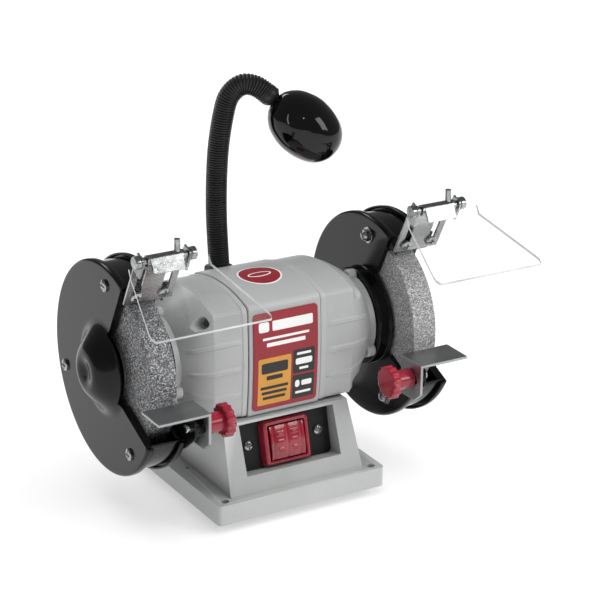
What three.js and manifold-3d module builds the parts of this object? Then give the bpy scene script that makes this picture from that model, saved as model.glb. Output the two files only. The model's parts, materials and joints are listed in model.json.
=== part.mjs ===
// Bench grinder with two 125 mm wheels, adjustable tool rests, tilting eye shields
// and a lamp on a flexible neck.
// Millimetres. X runs along the shaft, the front of the machine faces -Y and +Z is up.
// Shapes on the motor are written about the shaft axis, shapes on the base from the bench.
// The finished group is shifted so that its origin is the middle of its footprint, on the bench.
import * as THREE from 'three';
import { ConvexGeometry } from 'three/addons/geometries/ConvexGeometry.js';
import { mergeVertices } from 'three/addons/utils/BufferGeometryUtils.js';
import Module from 'manifold-3d';

const wasm = await Module();
wasm.setup();

// ---------------------------------------------------------------- driving dimensions
const GAP = 0.3; // clearance that fastened neighbours keep

const AXIS_Z = 113.9; // height of the shaft above the bench
const FOOT_H = 7;
const BASE_TOP = 22.2;
const BASE_X = 69.4; // half width of the base plate
const BASE_Y = 71.3; // half depth of the base plate
const BOLT_X = 61.1;
const BOLT_Y = 64.9;
const BOLT_HOLE_R = 3;
const SIDE_HOLE_X = 58.6;
const WALL = 3.5;
const FOOT_X = 56.5;
const FOOT_FRONT_Y = -40.5;
const FOOT_REAR_Y = 47.5;
const CAN_R = 13; // capacitor can
const CORD_X = 30; // cord gland, in the rear wall of the base
const CORD_Z = 14.6;
const CORD_NECK_R = 5;
const CORD_COLLAR_R = 6.6;
const CORD_HOLE_R = 3.2;
const PEDESTAL_TOP = 70.6;
const PEDESTAL_FOOT = { x: 55.3, y: 63.3 };
const PEDESTAL_HEAD = { x: 51.8, y: 44.6 };

const MOTOR_HALF_DEPTH = 40.5; // at the creases of the end bells
const MOTOR_CREASE = 40.8; // height of the upper crease above the axis
const MOTOR_BOTTOM = -42.2;
const ROOF_RISE = 7.5;
const SIDE_BULGE = 2.3;
const SHELL_HALF = 29.6; // half length of the centre shell
const SHELL_PROUD = 0.8; // the shell stands proud of the bells
const BELL_STRAIGHT = 57; // where a bell starts to taper
const NECK_R = 33;
const NECK_START = 79;
const NECK_END = 84;

const WHEEL_R = 62.5;
const WHEEL_IN = 97.3; // inboard face of a wheel
const WHEEL_OUT = 116.9;
const ARBOR_R = 6;

const GUARD_R = 78.3;
const GUARD_IN = 93.4; // inboard face of the inner guard plate
const GUARD_OUT = 124.1; // outboard face of the guard cover
const SHEET = 1.5; // sheet thickness of guards and brackets
const LIP = 5; // width of the rolled rim
const MANTLE_R = 75.2;
const HUB_CUP_R = 37;
const COVER_HUB_R = 30; // the cover keeps this much of its hub in front of the shaft
// Mouth of the guard, in (y, z) about the axis: two straight cuts and an arc round the hub.
const MOUTH_TOP_INNER = [-10.5, 29.7];
const MOUTH_TOP_OUTER = [-43.0, 91.9];
const MOUTH_LOW_INNER = [-28.1, -18.1];
const MOUTH_LOW_OUTER = [-101.5, -50.1];
const MOUTH_FRONT = -112;
// The band between the plates stops further back than the plates' upper cut.
const BAND_TOP_INNER = [-30, 40];
const BAND_TOP_OUTER = [-68, 113];
const BAND_WEB = [[-28, 62], [-28, 69], [-40.5, 64.2], [-38.7, 58.5]];
// Arm of the inner plate that the tool rest is bolted to.
const REST_ARM = [[-48, -28.5], [-70, -12.5], [-84, -14.5], [-84, -28], [-66, -43], [-48, -43]];
const SHAFT_HOLE_R = 14;
const BOSS_R = 7;
const STUD_HOLE_R = 3.4;

const BRACKET_X = 109.2; // middle of a shield bracket
const BRACKET_FOOT = [-41.3, 63.5]; // its lower edge, in (y, z) about the axis
const BRACKET_LEAN = THREE.MathUtils.degToRad(27.6);
const BRACKET_HALF = 18.4;
const BRACKET_H = 41;
const SLOT_X = 10.6;
const SCREW_Z = 7; // bracket screws above the lower edge
const SLOT_W = 5.6;
const SLOT_END = 31;
const ROD_Y = -6; // rod axis in front of the bracket
const ROD_Z = 47;
const ROD_R = 2.5;
const ROD_HEAD_R = 4.6;
const SHIELD_T = 2;
const SHIELD_SLOPE = THREE.MathUtils.degToRad(19);
const SHIELD_L = 64.5; // from the fold to the front edge
const SHIELD_REAR = 30; // half widths
const SHIELD_FRONT = 46;
const STRIP_START = 3.8; // the shield's rear strip, measured from the rod
const STRIP_END = 11.1;
const STRIP_OUT = 4.45;

const REST_TOP = 105.9;
const REST_REAR = -64;
const REST_FRONT = -90.5;
const REST_IN = 85.7; // inboard face of the rest's side flange
const REST_OUT = 126;
const REST_T = 2;
const BOLT = [-77, -21.7]; // knob axis, in (y, z) about the shaft axis

const SWITCH_Y = -41.5;
const SWITCH_Z = 48.2;
const SWITCH_LEAN = THREE.MathUtils.degToRad(-14);
const RECESS_X = 39.3; // half width of the recess in the pedestal
// Half sizes across (X) and up (Z) the leaning panel.
const PLATE_X = 38.8;
const RIM_X = 19.6;
const RIM_Z = 17;
const BODY_X = 13.2;
const BODY_Z = 11.2;
const ROCKER_X = 13.9;
const ROCKER_Z = 12.3;
const SWITCH_SCREW_X = 29.2;

const NECK_TUBE_R = 8;
const NECK_Y = 56; // the flexible neck rises behind the motor
const NECK_AIM = new THREE.Vector3(0.83, -0.5578, 0).normalize();
const SOCKET_TOP = 150;
const JOINT_LIP = 4; // a neck piece starts this far above the joint it turns on
// Centre line of the neck: reach along NECK_AIM and height above the bench.
const NECK_POINTS = [[0, 150.8], [-2, 196], [-0.7, 240], [4, 272], [36, 284]];
// The arched end starts clear of the joint below it.
const NECK_ARCH = [[5.2, 275.8], [8, 284.5], [16.5, 291.5], [27, 290.5], [36, 284]];
const SHADE_DROP = THREE.MathUtils.degToRad(40.8); // lamp axis below the horizontal
// The window: its middle along the shade's axis, its radius, its face's distance from the axis.
const WINDOW_T = 34;
const WINDOW_R = 9.5;
const WINDOW_DEPTH = 20.9;
const SHADE_SEAT_R = 9.2; // hollow in the shade's tail, wide enough for the head to tilt on the neck

// ---------------------------------------------------------------- materials
const paint = (color, roughness = 0.5, metalness = 0) =>
  new THREE.MeshStandardMaterial({ color, roughness, metalness });
const greyPaint = paint('#b4b5b4', 0.45);
const blackGloss = paint('#0d0d0e', 0.2);
const blackPlastic = paint('#141415', 0.5);
const rubber = paint('#101010', 0.85);
const zinc = paint('#c9cac8', 0.3, 0.9);
const steel = paint('#a9abad', 0.35, 0.95);
const laminations = paint('#6f7275', 0.5, 0.8);
const copper = paint('#a5592c', 0.4, 0.8);
const coarseAbrasive = paint('#77777a', 0.95);
const fineAbrasive = paint('#9a9a9a', 0.95);
const redPlastic = paint('#a8243a', 0.25);
const labelRed = paint('#a82834', 0.5);
const clearSheet = paint('#e9eeee', 0.05);
const lensWhite = paint('#f2f2ec', 0.2);

// ---------------------------------------------------------------- tools
function signedVolume(points, triangles) {
  const [a, b, c] = [new THREE.Vector3(), new THREE.Vector3(), new THREE.Vector3()];
  let volume = 0;
  for (let i = 0; i < triangles.length; i += 3) {
    a.fromArray(points, 3 * triangles[i]);
    b.fromArray(points, 3 * triangles[i + 1]);
    c.fromArray(points, 3 * triangles[i + 2]);
    volume += a.dot(b.cross(c)) / 6;
  }
  return volume;
}

// A closed geometry as a solid, with shared vertices and its faces pointing out.
function solid(geometry) {
  const bare = geometry.clone();
  bare.deleteAttribute('normal');
  bare.deleteAttribute('uv');
  const merged = mergeVertices(bare, 1e-3);
  const points = new Float32Array(merged.attributes.position.array);
  const all = Array.from(merged.index.array);
  const triangles = [];
  for (let i = 0; i < all.length; i += 3) {
    const [a, b, c] = all.slice(i, i + 3);
    if (a !== b && b !== c && c !== a) triangles.push(a, b, c);
  }
  if (signedVolume(points, triangles) < 0) triangles.reverse();
  const triVerts = new Uint32Array(triangles);
  return new wasm.Manifold(new wasm.Mesh({ numProp: 3, vertProperties: points, triVerts }));
}

const join = (...geometries) => geometries.map(asSolid).reduce((a, b) => a.add(b));
const cut = (body, ...tools) => tools.map(asSolid).reduce((a, b) => a.subtract(b), asSolid(body));
const common = (a, b) => asSolid(a).intersect(asSolid(b));

function asSolid(shape) {
  return shape.isBufferGeometry ? solid(shape) : shape;
}

function geometryOf(body) {
  const mesh = body.getMesh();
  const geometry = new THREE.BufferGeometry();
  const points = new THREE.BufferAttribute(new Float32Array(mesh.vertProperties), 3);
  geometry.setAttribute('position', points);
  geometry.setIndex(new THREE.BufferAttribute(new Uint32Array(mesh.triVerts), 1));
  geometry.computeVertexNormals();
  return geometry;
}

function piece(name, shape, material, parent) {
  const mesh = new THREE.Mesh(geometryOf(asSolid(shape)), material);
  mesh.name = name;
  parent.add(mesh);
  return mesh;
}

// A piece drawn for the right-hand side, set on either side of the machine.
function sidePiece(name, shape, material, parent, side) {
  const geometry = geometryOf(asSolid(shape));
  if (side < 0) geometry.scale(-1, 1, 1);
  return piece(name, geometry, material, parent);
}

function group(parent, x, y, z, leanX = 0) {
  const frame = new THREE.Group();
  frame.position.set(x, y, z);
  frame.rotation.x = leanX;
  parent.add(frame);
  return frame;
}

function box(x0, x1, y0, y1, z0, z1) {
  const geometry = new THREE.BoxGeometry(x1 - x0, y1 - y0, z1 - z0);
  return geometry.translate((x0 + x1) / 2, (y0 + y1) / 2, (z0 + z1) / 2);
}

function cylinderX(radius, x0, x1, y = 0, z = 0, segments = 24) {
  const geometry = new THREE.CylinderGeometry(radius, radius, x1 - x0, segments);
  return geometry.rotateZ(-Math.PI / 2).translate((x0 + x1) / 2, y, z);
}

function cylinderY(radius, y0, y1, x = 0, z = 0, segments = 20) {
  const geometry = new THREE.CylinderGeometry(radius, radius, y1 - y0, segments);
  return geometry.translate(x, (y0 + y1) / 2, z);
}

function cylinderZ(radius, z0, z1, x = 0, y = 0, segments = 20) {
  const geometry = new THREE.CylinderGeometry(radius, radius, z1 - z0, segments);
  return geometry.rotateX(Math.PI / 2).translate(x, y, (z0 + z1) / 2);
}

// Outline in (y, z), swept from x0 to x1.
function prismX(outline, x0, x1) {
  const shape = new THREE.Shape(outline.map(([y, z]) => new THREE.Vector2(y, z)));
  const geometry = new THREE.ExtrudeGeometry(shape, { depth: x1 - x0, bevelEnabled: false });
  const turn = new THREE.Matrix4().makeBasis(
    new THREE.Vector3(0, 1, 0), new THREE.Vector3(0, 0, 1), new THREE.Vector3(1, 0, 0));
  return geometry.applyMatrix4(turn).translate(x0, 0, 0);
}

// Outline in (x, y), swept from z0 to z1.
function prismZ(outline, z0, z1) {
  const shape = new THREE.Shape(outline.map(([x, y]) => new THREE.Vector2(x, y)));
  const geometry = new THREE.ExtrudeGeometry(shape, { depth: z1 - z0, bevelEnabled: false });
  return geometry.translate(0, 0, z0);
}

// Profile in (radius, x), turned about the X axis.
function turnedX(profile, segments = 48) {
  const points = profile.map(([r, x]) => new THREE.Vector2(r, x));
  return new THREE.LatheGeometry(points, segments).rotateZ(-Math.PI / 2);
}

// Points on the circular arc from a to b that bulges to the left of that direction.
function arc(a, b, rise, steps) {
  const chord = Math.hypot(b[0] - a[0], b[1] - a[1]);
  const across = [(b[0] - a[0]) / chord, (b[1] - a[1]) / chord];
  const out = [-across[1], across[0]];
  const radius = (chord ** 2 / 4 + rise ** 2) / (2 * rise);
  const half = Math.asin(chord / 2 / radius);
  const points = [];
  for (let i = 0; i <= steps; i += 1) {
    const angle = half * (2 * i / steps - 1);
    const along = chord / 2 + radius * Math.sin(angle);
    const lift = radius * Math.cos(angle) - (radius - rise);
    points.push([a[0] + across[0] * along + out[0] * lift, a[1] + across[1] * along + out[1] * lift]);
  }
  return points;
}

function roundedRectangle(halfX, halfY, radius, steps = 4) {
  const points = [];
  for (let corner = 0; corner < 4; corner += 1) {
    const cx = (corner === 0 || corner === 3 ? 1 : -1) * (halfX - radius);
    const cy = (corner < 2 ? 1 : -1) * (halfY - radius);
    for (let i = 0; i <= steps; i += 1) {
      const angle = (corner + i / steps) * Math.PI / 2;
      points.push([cx + radius * Math.cos(angle), cy + radius * Math.sin(angle)]);
    }
  }
  return points;
}

function hull(sections) {
  return new ConvexGeometry(sections.flat().map(([x, y, z]) => new THREE.Vector3(x, y, z)));
}

// ---------------------------------------------------------------- base
const FOUR_CORNERS = [[1, 1], [1, -1], [-1, 1], [-1, -1]];

const pedestalRing = ({ x, y }, z, inset) =>
  FOUR_CORNERS.map(([i, j]) => [i * (x - inset), j * (y - inset), z]);

const pedestalHull = (bottom, top, inset) =>
  hull([pedestalRing(PEDESTAL_FOOT, bottom, inset), pedestalRing(PEDESTAL_HEAD, top, inset)]);

function switchTool(shape) {
  const move = new THREE.Matrix4().makeTranslation(0, SWITCH_Y, SWITCH_Z);
  return shape.applyMatrix4(move.multiply(new THREE.Matrix4().makeRotationX(SWITCH_LEAN)));
}

function baseCasting() {
  const outer = join(
    prismZ(roundedRectangle(BASE_X, BASE_Y, 3), FOOT_H, BASE_TOP),
    pedestalHull(BASE_TOP - 1, PEDESTAL_TOP, 0));
  const inner = join(
    prismZ(roundedRectangle(BASE_X - WALL, BASE_Y - WALL, 2), FOOT_H - 1, BASE_TOP - WALL),
    pedestalHull(BASE_TOP - WALL - 1, PEDESTAL_TOP - WALL, WALL));
  const recessBlock = switchTool(box(-RECESS_X - WALL, RECESS_X + WALL, -40, 5.3, -26, 22));
  const recessWalls = common(recessBlock, pedestalHull(BASE_TOP - 1, PEDESTAL_TOP, 0));
  const bosses = FOUR_CORNERS.map(([i, j]) =>
    cylinderZ(6, FOOT_H + 1.8, BASE_TOP - 1, i * BOLT_X, j * BOLT_Y));
  const tray = prismZ(roundedRectangle(BASE_X - 1, BASE_Y - 1, 2), FOOT_H, BASE_TOP);
  const body = join(cut(outer, inner), recessWalls, common(join(...bosses), tray));
  const recess = switchTool(box(-RECESS_X, RECESS_X, -40, 2.3, -18, 19));
  const opening = switchTool(box(-34, 34, 0, 30, -13.5, 13.5));
  const boltHoles = FOUR_CORNERS.map(([i, j]) =>
    cylinderZ(BOLT_HOLE_R, 0, BASE_TOP + 1, i * BOLT_X, j * BOLT_Y));
  const sideHoles = [-1, 1].map((i) => cylinderZ(1.5, 0, BASE_TOP + 1, i * SIDE_HOLE_X, -3, 12));
  const wireHole = cylinderZ(8, PEDESTAL_TOP - 10, PEDESTAL_TOP + 1, 0, 12);
  const cordHole = cylinderY(CORD_NECK_R + GAP, BASE_Y - 10, BASE_Y + 1, CORD_X, CORD_Z);
  return cut(body, recess, opening, ...boltHoles, ...sideHoles, wireHole, cordHole);
}

function buildBase(parent) {
  piece('base_casting', baseCasting(), greyPaint, parent);
  const coverX = BASE_X - WALL - GAP;
  const coverY = BASE_Y - WALL - GAP;
  const boltClearance = FOUR_CORNERS.map(([i, j]) =>
    cylinderZ(BOLT_HOLE_R + 0.2, FOOT_H - 1, FOOT_H + 2.5, i * BOLT_X, j * BOLT_Y));
  const sheet = prismZ(roundedRectangle(coverX, coverY, 2), FOOT_H, FOOT_H + SHEET);
  piece('bottom_cover', cut(sheet, ...boltClearance), blackPlastic, parent);
  for (const [end, y] of [['front', FOOT_FRONT_Y], ['rear', FOOT_REAR_Y]]) {
    for (const [hand, side] of [['left', -1], ['right', 1]]) {
      const profile = [[0, 0], [6.4, 0], [7.4, 1.2], [8, FOOT_H - GAP], [0, FOOT_H - GAP]];
      const points = profile.map(([r, z]) => new THREE.Vector2(r, z));
      const foot = new THREE.LatheGeometry(points, 20).rotateX(Math.PI / 2);
      foot.translate(side * FOOT_X, y, 0);
      piece(`foot_${end}_${hand}`, foot, rubber, parent);
    }
  }
  const can = cylinderX(CAN_R, -20, 24, 30, FOOT_H + SHEET + GAP + CAN_R, 28);
  piece('capacitor', can, blackPlastic, parent);
  const gland = join(
    cylinderY(CORD_NECK_R, BASE_Y - WALL - 2, BASE_Y + GAP + 1, CORD_X, CORD_Z),
    cylinderY(CORD_COLLAR_R, BASE_Y + GAP, BASE_Y + 5.5, CORD_X, CORD_Z));
  const passage = cylinderY(CORD_HOLE_R, BASE_Y - 20, BASE_Y + 10, CORD_X, CORD_Z);
  piece('cord_gland', cut(gland, passage), rubber, parent);
}

// ---------------------------------------------------------------- switch
function buildSwitch(parent) {
  const panel = group(parent, 0, SWITCH_Y, SWITCH_Z, SWITCH_LEAN);
  const screwHoles = [-1, 1].map((i) => cylinderY(2.3, -1, 3, i * SWITCH_SCREW_X, 1, 12));
  const bodyHole = box(-BODY_X - 0.4, BODY_X + 0.4, -1, 3, -BODY_Z - 0.4, BODY_Z + 0.4);
  const plate = cut(box(-PLATE_X, PLATE_X, 0, 2, -17.6, 18.6), bodyHole, ...screwHoles);
  piece('switch_plate', plate, blackPlastic, panel);
  const rim = box(-RIM_X, RIM_X, -6.5, -GAP, -RIM_Z, RIM_Z);
  const window = box(-RIM_X + 5, RIM_X - 5, -8, 1, -RIM_Z + 3.5, RIM_Z - 3.5);
  piece('switch_frame', cut(rim, window), redPlastic, panel);
  piece('switch_body', box(-BODY_X, BODY_X, -0.5, 22, -BODY_Z, BODY_Z), blackPlastic, panel);
  const crown = arc([-6.2, -ROCKER_Z], [-6.2, ROCKER_Z], 1.6, 6);
  const outline = [...crown, [-2.2, ROCKER_Z], [-2.2, -ROCKER_Z]];
  piece('rocker', prismX(outline, -ROCKER_X, ROCKER_X), redPlastic, panel);
}

// ---------------------------------------------------------------- motor
function motorOutline(grow) {
  const halfDepth = MOTOR_HALF_DEPTH + grow;
  const top = MOTOR_CREASE + grow;
  const bottom = MOTOR_BOTTOM - grow;
  const front = arc([-halfDepth, bottom], [-halfDepth, top], SIDE_BULGE, 4);
  const roof = arc([-halfDepth, top], [halfDepth, top], ROOF_RISE, 6);
  const rear = arc([halfDepth, top], [halfDepth, bottom], SIDE_BULGE, 4);
  return [...front, ...roof.slice(1, -1), ...rear];
}

const ringAt = (radius, x, segments = 28) => Array.from({ length: segments }, (_, i) => {
  const angle = 2 * Math.PI * i / segments;
  return [x, radius * Math.cos(angle), radius * Math.sin(angle)];
});

function endBell() {
  const at = (outline, x) => outline.map(([y, z]) => [x, y, z]);
  const start = SHELL_HALF + GAP;
  const outer = join(
    hull([at(motorOutline(0), start), at(motorOutline(0), BELL_STRAIGHT), ringAt(NECK_R, NECK_START)]),
    cylinderX(NECK_R, NECK_START - 3, NECK_END, 0, 0, 28));
  const lugs = [90, 210, 330].map((degrees) => {
    const angle = THREE.MathUtils.degToRad(degrees);
    return cylinderX(5, NECK_END - 7, NECK_END, 33 * Math.cos(angle), 33 * Math.sin(angle), 16);
  });
  const inner = hull([
    at(motorOutline(-3), start - 1), at(motorOutline(-3), BELL_STRAIGHT - 2), ringAt(27, 68, 20)]);
  const bearingSeat = cylinderX(16.3, 60, NECK_END - 4, 0, 0, 20);
  return cut(join(outer, ...lugs), inner, bearingSeat, cylinderX(10, 60, NECK_END + 1, 0, 0, 16));
}

function buildMotor(parent) {
  const shell = cut(
    prismX(motorOutline(SHELL_PROUD), -SHELL_HALF, SHELL_HALF),
    prismX(motorOutline(-2.4), -SHELL_HALF - 1, SHELL_HALF + 1),
    cylinderZ(7, -60, -30, 0, 12));
  piece('motor_shell', shell, greyPaint, parent);
  const core = [[23.9, -22], [37.4, -22], [37.4, 22], [23.9, 22], [23.9, -22]];
  piece('stator_core', turnedX(core, 32), laminations, parent);
  const bearing = [[6.3, 69.3], [16, 69.3], [16, 79.5], [6.3, 79.5], [6.3, 69.3]];
  const winding = [[25, 22.3], [36, 22.3], [36, 32], [31, 36], [25, 32], [25, 22.3]];
  for (const [hand, side] of [['left', -1], ['right', 1]]) {
    sidePiece(`end_bell_${hand}`, endBell(), greyPaint, parent, side);
    sidePiece(`winding_${hand}`, turnedX(winding, 20), copper, parent, side);
    sidePiece(`bearing_${hand}`, turnedX(bearing, 20), steel, parent, side);
  }
  const plateFace = arc([-MOTOR_HALF_DEPTH - SHELL_PROUD - GAP, MOTOR_BOTTOM - SHELL_PROUD],
    [-MOTOR_HALF_DEPTH - SHELL_PROUD - GAP, MOTOR_CREASE + SHELL_PROUD], SIDE_BULGE, 8);
  const plateBack = plateFace.map(([y, z]) => [y - 0.6, z]);
  const sheet = prismX([...plateFace, ...plateBack.reverse()], -26.5, 26.5);
  piece('nameplate', common(sheet, box(-30, 30, -60, -30, -38.5, 36)), labelRed, parent);
}

// ---------------------------------------------------------------- rotor
function buildRotor(parent) {
  const shaft = [
    [0, -132], [5.2, -132], [ARBOR_R, -131], [ARBOR_R, -40], [10, -40],
    [10, 40], [ARBOR_R, 40], [ARBOR_R, 131], [5.2, 132], [0, 132]];
  piece('shaft', turnedX(shaft, 24), steel, parent);
  const core = [[10.3, -22], [23.2, -22], [23.2, 22], [10.3, 22], [10.3, -22]];
  piece('rotor_core', turnedX(core, 28), laminations, parent);
  const bore = ARBOR_R + GAP;
  const innerFlange = [
    [bore, 80.5], [9.5, 80.5], [9.5, 92], [24, 95], [24, 97], [bore, 97], [bore, 80.5]];
  const wheel = [
    [bore, WHEEL_IN], [WHEEL_R, WHEEL_IN], [WHEEL_R, WHEEL_OUT], [bore, WHEEL_OUT], [bore, WHEEL_IN]];
  const outerFlange = [
    [bore, 117.2], [24, 117.2], [24, 118.7], [12, 121.2], [bore, 121.2], [bore, 117.2]];
  for (const [hand, side] of [['left', -1], ['right', 1]]) {
    sidePiece(`flange_inner_${hand}`, turnedX(innerFlange, 24), steel, parent, side);
    const grit = side < 0 ? coarseAbrasive : fineAbrasive;
    sidePiece(`wheel_${hand}`, turnedX(wheel, 44), grit, parent, side);
    sidePiece(`flange_outer_${hand}`, turnedX(outerFlange, 24), steel, parent, side);
    const nut = cut(cylinderX(10, 121.5, 129, 0, 0, 6), cylinderX(bore, 120, 130));
    sidePiece(`arbor_nut_${hand}`, nut, zinc, parent, side);
  }
}

// ---------------------------------------------------------------- guards
function mouth(hubRadius, topInner, topOuter) {
  const from = Math.atan2(topInner[1], topInner[0]);
  const to = Math.atan2(MOUTH_LOW_INNER[1], MOUTH_LOW_INNER[0]) + 2 * Math.PI;
  const round = Array.from({ length: 9 }, (_, i) => {
    const angle = from + (to - from) * i / 8;
    return [hubRadius * Math.cos(angle), hubRadius * Math.sin(angle)];
  });
  const front = [[MOUTH_FRONT, MOUTH_LOW_OUTER[1]], [MOUTH_FRONT, topOuter[1]]];
  return [topOuter, ...round, MOUTH_LOW_OUTER, ...front];
}

function guardCover() {
  const face = GUARD_OUT;
  const outside = [
    [0, face + 11], [7, face + 12], [12, face + 14], [18, face + 12], [29, face + 3.8], [36.5, face],
    [GUARD_R - 2, face], [GUARD_R, face - 2], [GUARD_R, face - LIP]];
  const inside = [
    [GUARD_R - SHEET, face - LIP], [GUARD_R - SHEET, face - SHEET], [35.5, face - SHEET],
    [28, face + 2.6], [16, face + 11], [0, face + 9.5]];
  const opening = prismX(mouth(COVER_HUB_R, MOUTH_TOP_INNER, MOUTH_TOP_OUTER), 100, 150);
  return cut(turnedX([...outside, ...inside], 36), opening);
}

// The bracket's own frame: origin at the middle of its lower edge, +Z up along it, -Y forward.
function bracketTool(shape) {
  const move = new THREE.Matrix4().makeTranslation(BRACKET_X, ...BRACKET_FOOT);
  return shape.applyMatrix4(move.multiply(new THREE.Matrix4().makeRotationX(BRACKET_LEAN)));
}

// Inboard plate: a disc with the hub cup pressed into it, and the arm that carries the tool rest.
function guardInner() {
  const face = GUARD_IN;
  const cup = NECK_END + GAP;
  const plate = [
    [SHAFT_HOLE_R, cup], [HUB_CUP_R, cup], [HUB_CUP_R, face], [GUARD_R - 2, face],
    [GUARD_R, face + 2], [GUARD_R, face + LIP], [GUARD_R - SHEET, face + LIP],
    [GUARD_R - SHEET, face + SHEET], [HUB_CUP_R - SHEET, face + SHEET],
    [HUB_CUP_R - SHEET, cup + SHEET], [SHAFT_HOLE_R, cup + SHEET], [SHAFT_HOLE_R, cup]];
  const opening = prismX(mouth(HUB_CUP_R + 2, MOUTH_TOP_INNER, MOUTH_TOP_OUTER), 70, 150);
  const disc = cut(turnedX(plate, 36), opening);
  const arm = prismX(REST_ARM, face, face + SHEET);
  const boss = cylinderX(BOSS_R, REST_IN + REST_T + GAP, face + 1, ...BOLT, 20);
  return cut(join(disc, arm, boss), cylinderX(STUD_HOLE_R, 80, 110, ...BOLT, 16));
}

// Band between the two plates, with the tongue that the shield bracket is screwed to.
function guardBand() {
  const inboard = GUARD_IN + SHEET + GAP;
  const outboard = GUARD_OUT - SHEET - 0.7;
  const strip = [
    [MANTLE_R - SHEET, inboard], [MANTLE_R, inboard], [MANTLE_R, outboard],
    [MANTLE_R - SHEET, outboard], [MANTLE_R - SHEET, inboard]];
  const front = prismX(mouth(HUB_CUP_R + 2, BAND_TOP_INNER, BAND_TOP_OUTER), 70, 150);
  const ahead = bracketTool(box(-60, 60, -80, GAP, -60, 60));
  const upper = box(0, 200, -200, 200, 0, 200);
  const band = cut(turnedX(strip, 36), front, common(ahead, upper));
  const tongue = bracketTool(box(-13.8, 12.6, GAP, GAP + 1.8, -3.5, 13));
  const web = prismX(BAND_WEB, inboard, inboard + SHEET);
  const screwHoles = [-1, 1].map((i) => bracketTool(cylinderY(2.3, -3, 8, i * SLOT_X, SCREW_Z, 14)));
  return cut(join(band, tongue, web), ...screwHoles);
}

function buildGuards(parent) {
  for (const [hand, side] of [['left', -1], ['right', 1]]) {
    sidePiece(`guard_inner_${hand}`, guardInner(), blackGloss, parent, side);
    sidePiece(`guard_band_${hand}`, guardBand(), blackGloss, parent, side);
    sidePiece(`guard_cover_${hand}`, guardCover(), blackGloss, parent, side);
  }
}

// ---------------------------------------------------------------- tool rests
function buildRests(parent) {
  const top = REST_TOP - AXIS_Z;
  const flangeOutline = [
    [REST_REAR, top], [REST_FRONT, top], [REST_FRONT, top - 23], [-82, top - 30], [REST_REAR, top - 30]];
  const slotLow = BOLT[1] - 3.4;
  const slotHigh = BOLT[1] + 3.4;
  const plate = join(
    box(REST_IN, REST_OUT, REST_FRONT, REST_REAR, top - REST_T, top),
    prismX(flangeOutline, REST_IN, REST_IN + REST_T));
  const slot = join(
    box(REST_IN - 1, REST_IN + 4, -82, -68.5, slotLow, slotHigh),
    cylinderX(3.4, REST_IN - 1, REST_IN + 4, -82, BOLT[1], 16),
    cylinderX(3.4, REST_IN - 1, REST_IN + 4, -68.5, BOLT[1], 16));
  const star = new THREE.Shape();
  for (let i = 0; i < 36; i += 1) {
    const angle = 2 * Math.PI * i / 36;
    const radius = 11.3 + 1.3 * Math.cos(6 * angle);
    star[i ? 'lineTo' : 'moveTo'](radius * Math.cos(angle) + BOLT[0], radius * Math.sin(angle) + BOLT[1]);
  }
  const grip = prismX(star.getPoints().map(({ x, y }) => [x, y]), 64.5, 71.5);
  const hub = cylinderX(7.2, 71, REST_IN - GAP, ...BOLT, 24);
  const stud = cylinderX(3, 80, 99, ...BOLT, 16);
  for (const [hand, side] of [['left', -1], ['right', 1]]) {
    sidePiece(`rest_${hand}`, cut(plate, slot), zinc, parent, side);
    sidePiece(`rest_knob_${hand}`, join(grip, hub, stud), redPlastic, parent, side);
  }
}

// ---------------------------------------------------------------- eye shields
function bracketPlate() {
  const ears = [-1, 1].map((i) => {
    const x = i * (BRACKET_HALF - SHEET / 2);
    const cheek = box(x - SHEET / 2, x + SHEET / 2, ROD_Y - 4.2, 0, BRACKET_H - 6, ROD_Z);
    const tip = cylinderX(4.2, x - SHEET / 2, x + SHEET / 2, ROD_Y, ROD_Z, 14);
    const back = box(x - SHEET / 2, x + SHEET / 2, -4, 0, ROD_Z - 1, ROD_Z + 3);
    return join(cheek, tip, back);
  });
  const slots = [-1, 1].map((i) => join(
    box(i * SLOT_X - SLOT_W / 2, i * SLOT_X + SLOT_W / 2, -3, 3, SCREW_Z, SLOT_END),
    cylinderY(SLOT_W / 2, -3, 3, i * SLOT_X, SCREW_Z, 10),
    cylinderY(SLOT_W / 2, -3, 3, i * SLOT_X, SLOT_END, 10)));
  const body = join(box(-BRACKET_HALF, BRACKET_HALF, -SHEET, 0, 0, BRACKET_H), ...ears);
  return cut(body, ...slots, cylinderX(ROD_R + GAP, -30, 30, ROD_Y, ROD_Z, 12));
}

// Point in (y, z) about the rod: `down` along the shield's rear strip, `out` square to it.
function stripPoint(down, out) {
  const lean = BRACKET_LEAN;
  return [-Math.sin(lean) * down - Math.cos(lean) * out, -Math.cos(lean) * down + Math.sin(lean) * out];
}

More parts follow.
